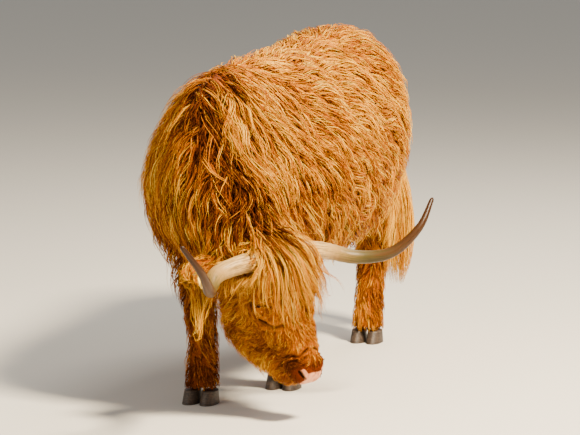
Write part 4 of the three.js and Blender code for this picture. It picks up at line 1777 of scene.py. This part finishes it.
    def haired(self, zone: Zone, points: Array, short: bool) -> Array:
        """Finds where a zone's locks may grow.

        Args:
            zone: The zone.
            points: Points on it.
            short: Whether the locks are short enough for the velvet round the nose.

        Returns:
            Whether locks grow at each point.
        """
        keep = read_combs(zone, points).length > 8 * MM
        if zone is not Zone.FACE:
            return keep
        local, _ = Face().folded(points)
        by_eye = span(local - Face.eye_centre - Face.gaze * 0.018) < 0.011
        nose, velvet, _ = Face().masks(points).T
        bare = (nose > 0.05) | ((velvet > 0.4) & (not short)) | (Face().nostril_reach(local) < 1.9)
        return keep & ~by_eye & ~bare

    def build(self) -> None:
        """Grows every zone and makes its pieces."""
        hair = HairFinish().material()
        for zone, layers in GROWTH.items():
            for growth in layers:
                locks = self.grow(zone, growth)
                self.make_pieces(f"coat_{zone.name.lower()}_{growth.name}", locks, hair, "long_coat")
        draped = self.surface
        for side in SIDES.values():
            draped = draped.with_solid(Horns().sheath(side))
        forelock = Forelock(self, draped)
        self.make_pieces("coat_forelock", forelock.grow(), hair, "pale_hair", ("forelock",))
        self.make_pieces("coat_horn_cuffs", forelock.cuffs(), hair, "pale_hair")
        switch = TailSwitch(self.surface).grow()
        self.make_pieces("coat_tail_switch", switch, hair, "pale_hair", ("tail_switch",))

    def make_pieces(
        self, name: str, locks: Locks, hair: Material, slot: str, replaces: tuple[str, ...] = ()
    ) -> None:
        """Parts locks front to back into pieces that stay under the triangle limit.

        Args:
            name: The pieces' name, to which a number is added.
            locks: The locks.
            hair: Their material.
            slot: A material slot's name, passed on to to_piece, which doesn't use it.
            replaces: The nodes that the first piece stands for.
        """
        each = 6 * (locks.path.shape[1] - 2) + 4
        parts = math.ceil(len(locks.path) * each / self.triangle_limit)
        order = np.argsort(locks.path[:, 0, 1])
        for number, chosen in enumerate(np.array_split(order, parts), start=1):
            stands_for = replaces if number == 1 else ()
            locks.chosen(chosen).solid().to_piece(f"{name}_{number}", hair, slot, stands_for)


@dataclass
class Forelock:
    """The long fringe from the poll over the forehead, eyes and horn roots, in the head's axes."""

    coat: Coat
    draped: Surface  # the hide with the horns
    growth: Growth = Growth(
        "fringe", 17, 8, 11, 2.5, clump=0.93, wavelength=190, blond=0.25, glow=0.36, mottle=0.2
    )
    cuff: Growth = Growth(
        "cuff", 10, 4, 7, 2.6, clump=0.7, wavelength=120, blond=0.4, glow=0.42, mottle=0.1
    )
    whorl: float = -0.037  # across the poll
    horn_root: Point = (0.092, -0.004, -0.034)  # the right one; the left cuff grows nearer the forehead
    length: float = 0.285
    thickness: float = 0.046

    def grow(self) -> Locks:
        """Grows the fringe in layers, the hindmost outermost.

        Returns:
            The locks.
        """
        surface = self.coat.surface
        local = moved(TO_HEAD, surface.points[surface.triangles[:, 0]])
        on_poll = (np.abs(local[:, 0]) < 0.114) & (local[:, 1] > -0.055) & (local[:, 2] > -0.075)
        allowed = on_poll & (self.coat.triangle_zone == ZONE_OF_NODE["head"])
        roots, normals, uv = self.coat.roots(allowed, self.growth.spacing * MM, SEED + 50)
        rng = np.random.default_rng(SEED + 51)
        guides = self.fall(roots, normals, uv, rng)
        locks = self.coat.strands(self.growth, guides, rng)
        return locks.chosen(~Face().over_lids(locks.path) | (rng.random(len(locks.path)) < 0.12))

    def cuffs(self) -> Locks:
        """Grows the hair of the poll that lies out along the horns and hides their roots.

        Returns:
            The locks.
        """
        surface = self.coat.surface
        local = moved(TO_HEAD, surface.points[surface.triangles[:, 0]])
        folded = local * [-1, 1, 1] * np.sign(-local[:, :1])
        allowed = (span(folded - self.horn_root) < 0.052) & (np.abs(local[:, 0]) > 0.05)
        roots, normals, uv = self.coat.roots(allowed, self.cuff.spacing * MM, SEED + 55)
        rng = np.random.default_rng(SEED + 56)
        start = moved(TO_HEAD, roots)
        side, count = np.sign(start[:, 0]), len(roots)
        length = np.where(side < 0, 0.105, 0.06) * rng.uniform(0.6, 1.1, count)
        step = length / (self.cuff.rings - 1)
        point, up = roots - normals * 0.003, normals
        path, ups = [point], [up]
        drop = rng.uniform(0.1, 0.9, count)
        for ring in range(1, self.cuff.rings):
            s = ring / (self.cuff.rings - 1)
            across, rise = side * (1.15 - s * drop), np.full(count, 0.15)
            along = np.stack([across, -0.25 - 1.3 * drop * s, rise], axis=1)
            ahead = point + unit(turned(HEAD, along) + normals * 0.5 * (1 - s)) * step[:, None]
            foot, up = self.draped.nearest(ahead)
            height = np.maximum(dot(ahead - foot, up), 0.005 + 0.007 * math.sin(math.pi * s))
            point = foot + up * height
            path.append(point)
            ups.append(up)
        tone = 0.36 + 0.1 * rng.normal(size=count)
        wave, depth = np.full(count, 4 * MM), np.full(count, 10 * MM)
        guides = Guides(np.stack(path, 1), np.stack(ups, 1), tone, wave, depth, uv)
        return self.coat.strands(self.cuff, guides, rng)

    def fall(self, roots: Array, normals: Array, uv: Array, rng: np.random.Generator) -> Guides:
        """Lets each clump fall away from the whorl, down the face or over a horn root.

        Args:
            roots: Where the clumps start.
            normals: The hide's normals there.
            uv: Their places on the bake map.
            rng: The random generator.

        Returns:
            The guides.
        """
        rings = self.growth.rings
        start = moved(TO_HEAD, roots)
        count = len(roots)
        aside = (start[:, 0] - self.whorl) / 0.1
        back = smoothstep(-0.055, 0.07, start[:, 1])
        layer = self.thickness * (0.2 + 0.75 * back) * rng.uniform(0.7, 1.05, count)
        length = self.length * rng.uniform(0.7, 1.12, count) * (0.78 + 0.22 * back)
        length = length * (1 - 0.25 * smoothstep(0.1, 0.5, -aside))
        sway = aside * np.where(aside < 0, 1.0, 0.85) + rng.normal(0, 0.16, count)
        over_horn = 2.6 * smoothstep(0.05, 0.45, -aside)
        step = length / (rings - 1)
        point, up = roots - normals * 0.003, normals
        path, ups = [point], [up]
        heading = unit(normals * 0.7 + turned(HEAD, np.array([[0.0, -1.0, 0.2]])))
        for ring in range(1, rings):
            s = ring / (rings - 1)
            across = sway * (1 - 0.65 * s) - over_horn * (1 - s) ** 3
            fall = np.stack([across, -np.ones(count), np.full(count, -0.12 * s)], axis=1)
            heading = unit(heading * 0.45 + unit(turned(HEAD, fall)) * 0.55 + [0, 0, -0.15 * s])
            ahead = point + heading * step[:, None]
            foot, up = self.draped.nearest(ahead)
            height = dot(ahead - foot, up)
            want = layer[:, None] * math.sin(min(1.0, s * 2.5) * math.pi / 2)
            hug = np.clip(0.75 - 0.45 * s - 0.3 * np.abs(aside[:, None]) * s, 0.05, 1)
            height = np.maximum(height * (1 - hug) + want * hug, want * 0.8 * (1 - 0.6 * s) + 0.002)
            point = foot + up * height
            path.append(point)
            ups.append(up)
        whorl = np.exp(-(((start[:, 0] - self.whorl - 0.01) / 0.022) ** 2)) * back
        tone = 0.42 + 0.16 * back + 0.1 * smoothstep(0.2, 0.9, aside) - 0.25 * whorl
        wave, depth = np.full(count, 7 * MM), np.full(count, 14 * MM)
        return Guides(np.stack(path, 1), np.stack(ups, 1), tone, wave, depth, uv)


@dataclass
class TailSwitch:
    """The long brush at the end of the tail, in the cow's axes and in metres."""

    surface: Surface
    axis: tuple[Point, ...] = (
        (0.098, 0.922, 0.790),
        (0.118, 0.920, 0.730),
        (0.150, 0.914, 0.600),
        (0.172, 0.908, 0.450),
        (0.176, 0.902, 0.300),
        (0.172, 0.898, 0.190),
    )
    radii: tuple[float, ...] = (0.018, 0.030, 0.054, 0.062, 0.054, 0.026)
    sway: float = 0.006
    count: int = 950
    rings: int = 10

    def grow(self) -> Locks:
        """Hangs the strands along the brush's axis, the lower ones starting further down.

        Returns:
            The locks.
        """
        rng = np.random.default_rng(SEED + 60)
        fine = curve_through(np.array(self.axis), 200)
        girth = curve_through(np.array(self.radii)[:, None], 200)[:, 0]
        start = rng.uniform(0, 0.55, self.count) ** 1.1
        end = np.minimum(start + rng.uniform(0.4, 0.62, self.count), 1.0)
        s = np.linspace(0, 1, self.rings)
        place = start[:, None] + (end - start)[:, None] * s[None]
        index = np.clip(place * 199, 0, 199).astype(int)
        angle = rng.uniform(0, 2 * math.pi, (self.count, 1))
        angle = angle + 0.5 * s[None] * rng.normal(0, 1, (self.count, 1))
        spread = 0.35 + 0.65 * np.sin(np.clip(s * 1.8, 0, 1) * math.pi / 2)
        radius = girth[index] * (np.sqrt(rng.uniform(0.1, 1.0, self.count))[:, None] * spread)
        radial = np.stack([np.cos(angle), np.sin(angle), 0 * angle], axis=-1)
        tangent = np.stack([-np.sin(angle), np.cos(angle), 0 * angle], axis=-1)
        sway = self.sway * np.sin(place * 16 + angle)[..., None] * tangent
        path = moved(COW, fine[index] + radial * radius[..., None] + sway)
        tone = np.clip(rng.normal(0.66, 0.14, self.count), 0, 1)
        width = rng.uniform(2.6, 4.6, self.count) * MM
        uv = self.surface.uv_near(path[:, 0])
        return Locks(path, turned(COW, radial), width, tone, uv, rng.random(self.count))


# ---- Horns, hooves, eyes and tag ----


@dataclass
class Horns:
    """A pair of horns that leave the head sideways, sweep forwards and turn up, in the head's axes."""

    path_mm: tuple[Point, ...] = (
        (60, -2, -42),
        (110, -3, -36),
        (172, -4, -36),
        (259, -17, -50),
        (339, -59, -16),
        (419, -81, 62),
        (502, -33, 138),
        (578, 52, 172),
    )
    root_radius: float = 34 * MM
    tip_radius: float = 7 * MM
    taper: float = 1.7
    rings: int = 150
    around: int = 40

    def build(self) -> None:
        """Builds both horns."""
        finish = HornFinish().material()
        for name, side in SIDES.items():
            self.sheath(side).to_piece(f"horn_sheath_{name}", finish, "horn", (f"horn_{name}",))

    def sheath(self, side: int) -> MeshArrays:
        """Lofts one horn, with faint ridges that die out along the shaft.

        Args:
            side: 1 for the left horn and -1 for the right.

        Returns:
            The closed mesh.
        """
        fine = curve_through(np.array(self.path_mm) * MM, self.rings)
        share = np.linspace(0, 1, self.rings)
        radius = self.root_radius + (self.tip_radius - self.root_radius) * share**self.taper
        phases = np.random.default_rng(SEED + 70).uniform(0, 6, 3)
        ridges = sum(np.sin(share * turns + phase) for turns, phase in zip((95, 141, 187), phases))
        radius = radius + ridges * 0.35 * MM * (1 - smoothstep(0.25, 0.7, share))
        radius = radius * np.sqrt(1 - np.clip((share - 0.985) / 0.016, 0, 0.97) ** 2)
        path = moved(HEAD, fine * [side, 1, 1])
        up = turned(HEAD, np.array([[0.0, 0.2, 1.0]]))
        return tube(path, np.stack([radius, radius * 0.94], axis=1), self.around, up)


@dataclass
class Hooves:
    """Eight claws, each inside its node's box, with a rounded wall that slopes out to the sole."""

    around: int = 36
    rings: int = 14
    wall_slope: float = 0.72  # the coronet's length against the sole's

    def build(self) -> None:
        """Builds every claw."""
        finish = HoofFinish().material()
        for node in sorted(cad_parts):
            if node.startswith("hoof_"):
                self.claw(node).to_piece(f"claw_{node[5:]}", finish, "hoof_horn", (node,))

    def claw(self, node: str) -> MeshArrays:
        """Lofts one claw between its coronet and its sole.

        Args:
            node: The claw's node.

        Returns:
            The closed mesh.
        """
        low, high = (np.array(corner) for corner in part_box(node))
        share = np.concatenate([[0, 0, 0.004, 0.012], np.linspace(0.03, 1, self.rings - 4)])
        ease = np.array([0.0, 0.93, 0.975, 0.995] + [1.0] * (self.rings - 4))
        size = (high - low) * [0.5, 0.5, 1.0]
        centre = (low + high) / 2
        angle = np.arange(self.around) * 2 * math.pi / self.around
        x, y = np.cos(angle), np.sin(angle)
        toe = y < 0  # its outline is more pointed than the heel's
        x = np.sign(x) * np.abs(x) ** np.where(toe, 1.1, 0.8)
        y = np.sign(y) * np.abs(y) ** np.where(toe, 0.85, 0.8)
        shrink = 1 - (1 - self.wall_slope) * share
        points = np.empty((self.rings, self.around, 3))
        points[..., 0] = centre[0] + size[0] * x[None] * (ease * (1 - 0.12 * share))[:, None]
        lean = 0.14 * size[1] * share[:, None]
        points[..., 1] = centre[1] + (size[1] * y[None] * shrink[:, None] + lean) * ease[:, None]
        points[..., 2] = (low[2] + size[2] * share)[:, None]
        middles = points.mean(axis=1)
        mesh = tube(middles, np.ones((self.rings, 2)), self.around, np.array([[0.0, 1.0, 0.0]]))
        mesh.points = np.concatenate([points.reshape(-1, 3), middles[:1], middles[-1:]])
        return mesh


@dataclass
class Eyes:
    """The eyeballs, and the pale lashes of the upper lids."""

    surface: Surface
    lashes: int = 22
    lash_length: float = 0.014
    rings: int = 28
    around: int = 40

    def build(self) -> None:
        """Builds both eyes and their lashes."""
        finish = EyeFinish().material()
        hair = HairFinish(name="cattle_eyelash_pale", streaks=1.0).material()
        for name, side in SIDES.items():
            low, high = (np.array(corner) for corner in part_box(f"eye_{name}"))
            gaze = turned(HEAD, Face.gaze * [side, 1, 1])
            ball = self.ball((low + high) / 2, gaze)
            ball.to_piece(f"eyeball_{name}", finish, "eye", (f"eye_{name}",))
            self.lash_locks(side).solid().to_piece(f"lashes_{name}", hair, "pale_hair")

    def ball(self, centre: Array, gaze: Array) -> MeshArrays:
        """A ball whose poles lie along the gaze, with its distance from the gaze stored.

        Args:
            centre: The ball's centre.
            gaze: The direction it looks in.

        Returns:
            The closed mesh.
        """
        turn = np.linspace(0.02, math.pi - 0.02, self.rings)
        path = centre + gaze * (np.cos(turn) * Face.eye_radius)[:, None]
        radius = np.sin(turn) * Face.eye_radius
        mesh = tube(path, np.stack([radius, radius], axis=1), self.around, np.array([[0.0, 0.0, 1.0]]))
        out = np.clip(turn / 1.15, 0, 1)
        value = np.concatenate([np.repeat(out, self.around), [0.0, 1.0]])
        mesh.colours = {"gaze": np.stack([value, value, value, np.ones_like(value)], axis=1)}
        return mesh

    def lash_locks(self, side: int) -> Locks:
        """Curves a row of lashes out from the upper lid's edge.

        Args:
            side: 1 for the left eye and -1 for the right.

        Returns:
            The lashes.
        """
        rng = np.random.default_rng(SEED + 80 + side)
        lengthwise, upward = Face().eye_axes()
        place = np.linspace(-0.85, 0.85, self.lashes) * Face.slit_half_length
        edge = Face.slit_half_height * np.sqrt(1 - (place / Face.slit_half_length) ** 2) + 0.0008
        edge = edge + Face().slit_height(place)
        out = np.sqrt(np.maximum((Face.eye_radius + Face.lid) ** 2 - place**2 - edge**2, 1e-8))
        root = Face.eye_centre + place[:, None] * lengthwise + edge[:, None] * upward
        root = root + out[:, None] * Face.gaze
        s = np.linspace(0, 1, 6)[None, :, None]
        length = self.lash_length * rng.uniform(0.7, 1.1, self.lashes)
        ahead = Face.gaze * 0.75 - upward * 0.35 + np.array([0, -0.35, 0])
        bend = lengthwise * (place / Face.slit_half_length * 0.5)[:, None] + ahead
        path = root[:, None] + (unit(bend)[:, None] * s - upward * s**2 * 0.35) * length[:, None, None]
        path = moved(HEAD, path * [side, 1, 1])
        up = np.broadcast_to(turned(HEAD, upward * [side, 1, 1]), path.shape)
        tone = rng.uniform(0.45, 0.75, self.lashes)
        uv = self.surface.uv_near(path[:, 0])
        return Locks(path, up, np.full(self.lashes, 0.8 * MM), tone, uv, rng.random(self.lashes))


@dataclass
class EarTag:
    """The blank plate in the right ear: the node's own shape with its edges rounded as by a mould."""

    edge: float = 0.9 * MM

    def build(self) -> None:
        """Copies the node and rounds its edges."""
        work = bmesh.new()
        work.from_mesh(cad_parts["ear_tag"].data)
        bmesh.ops.remove_doubles(work, verts=work.verts, dist=1e-5)
        bmesh.ops.dissolve_limit(work, angle_limit=math.radians(4), verts=work.verts, edges=work.edges)
        sharp = [edge for edge in work.edges if len(edge.link_faces) == 2 and edge.calc_face_angle() > 0.6]
        bmesh.ops.bevel(work, geom=sharp, offset=self.edge, segments=3, affect="EDGES", clamp_overlap=True)
        mesh = bpy.data.meshes.new("tag_plate")
        work.to_mesh(mesh)
        work.free()
        piece = bpy.data.objects.new("tag_plate", mesh)
        finish_piece(piece, TagFinish().material(), ("ear_tag",))


# ---- Studio ----


@dataclass(frozen=True)
class Lamp:
    """A soft studio lamp, placed by its bearing from the cow."""

    name: str
    azimuth: float
    elevation: float
    distance: float
    size: float
    power: float
    colour: str


@dataclass
class Studio:
    """The floor, the lamps and the camera."""

    camera_azimuth: float = 20.0
    camera_elevation: float = 7.6
    camera_distance: float = 10.0
    lens_mm: float = 177.7
    aim: Point = (0.0601, 0.0219, 0.548)  # in the cow's axes
    floor_size: float = 160.0
    lamps: tuple[Lamp, ...] = (
        Lamp("key", 64, 49, 6.0, 1.1, 1740, "#ffe9c6"),
        Lamp("fill", -25, 25, 7.0, 4.0, 120, "#fff2e0"),
        Lamp("rim", 170, 50, 6.5, 2.5, 260, "#fff4e4"),
    )
    sky: str = "#e8e5e0"
    sky_strength: float = 0.48

    def place(
        self, holder: Object, centre: Vector, azimuth: float, elevation: float, distance: float
    ) -> None:
        """Links a lamp or camera and turns it towards the cow.

        Args:
            holder: The lamp's or camera's object.
            centre: The point that it faces.
            azimuth: Its bearing in degrees: 0 is straight ahead of the cow and 90 is its left.
            elevation: Its height in degrees above the level.
            distance: How far it stands from the point.
        """
        az, el = math.radians(azimuth), math.radians(elevation)
        bearing = Vector((math.sin(az) * math.cos(el), -math.cos(az) * math.cos(el), math.sin(el)))
        holder.location = centre + bearing * distance
        holder.rotation_euler = (centre - holder.location).to_track_quat("-Z", "Y").to_euler()
        bpy.context.collection.objects.link(holder)

    def build(self) -> None:
        """Builds the studio."""
        centre = COW @ Vector(self.aim)
        self.lay_floor()
        for lamp in self.lamps:
            self.hang(lamp, centre)
        self.set_sky()
        self.place_camera(centre)

    def lay_floor(self) -> None:
        """Lays a plain square floor under the hooves."""
        half = self.floor_size / 2
        mesh = bpy.data.meshes.new("studio_floor")
        corners = [(-half, -half, 0), (half, -half, 0), (half, half, 0), (-half, half, 0)]
        mesh.from_pydata(corners, [], [(0, 1, 2, 3)])
        mesh.materials.append(FloorFinish().material())
        floor = bpy.data.objects.new("studio_floor", mesh)
        bpy.context.collection.objects.link(floor)

    def hang(self, lamp: Lamp, centre: Vector) -> None:
        """Hangs one lamp facing the cow.

        Args:
            lamp: The lamp.
            centre: The point that it faces.
        """
        light = bpy.data.lights.new(lamp.name, "AREA")
        light.size = lamp.size
        light.energy = lamp.power
        light.color = linear(lamp.colour)[:3]
        holder = bpy.data.objects.new(lamp.name, light)
        self.place(holder, centre, lamp.azimuth, lamp.elevation, lamp.distance)

    def set_sky(self) -> None:
        """Fills the room with an even pale light."""
        world = bpy.data.worlds.new("studio")
        world.use_nodes = True
        background = world.node_tree.nodes["Background"]
        background.inputs["Color"].default_value = linear(self.sky)
        background.inputs["Strength"].default_value = self.sky_strength
        bpy.context.scene.world = world

    def place_camera(self, centre: Vector) -> None:
        """Places the camera.

        Args:
            centre: The point that it looks at.
        """
        camera = bpy.data.cameras.new("camera")
        camera.lens = self.lens_mm
        camera.sensor_width = 36.0
        camera.clip_end = 200.0
        holder = bpy.data.objects.new("camera", camera)
        self.place(holder, centre, self.camera_azimuth, self.camera_elevation, self.camera_distance)
        bpy.context.scene.camera = holder


def main() -> None:
    """Builds the whole cow and its studio."""
    logging.basicConfig(level=logging.INFO, format="%(name)s: %(message)s")
    surface = Skin().build()
    Coat(surface).build()
    Horns().build()
    Hooves().build()
    Eyes(surface).build()
    EarTag().build()
    Studio().build()


if __name__ == "__main__":
    main()
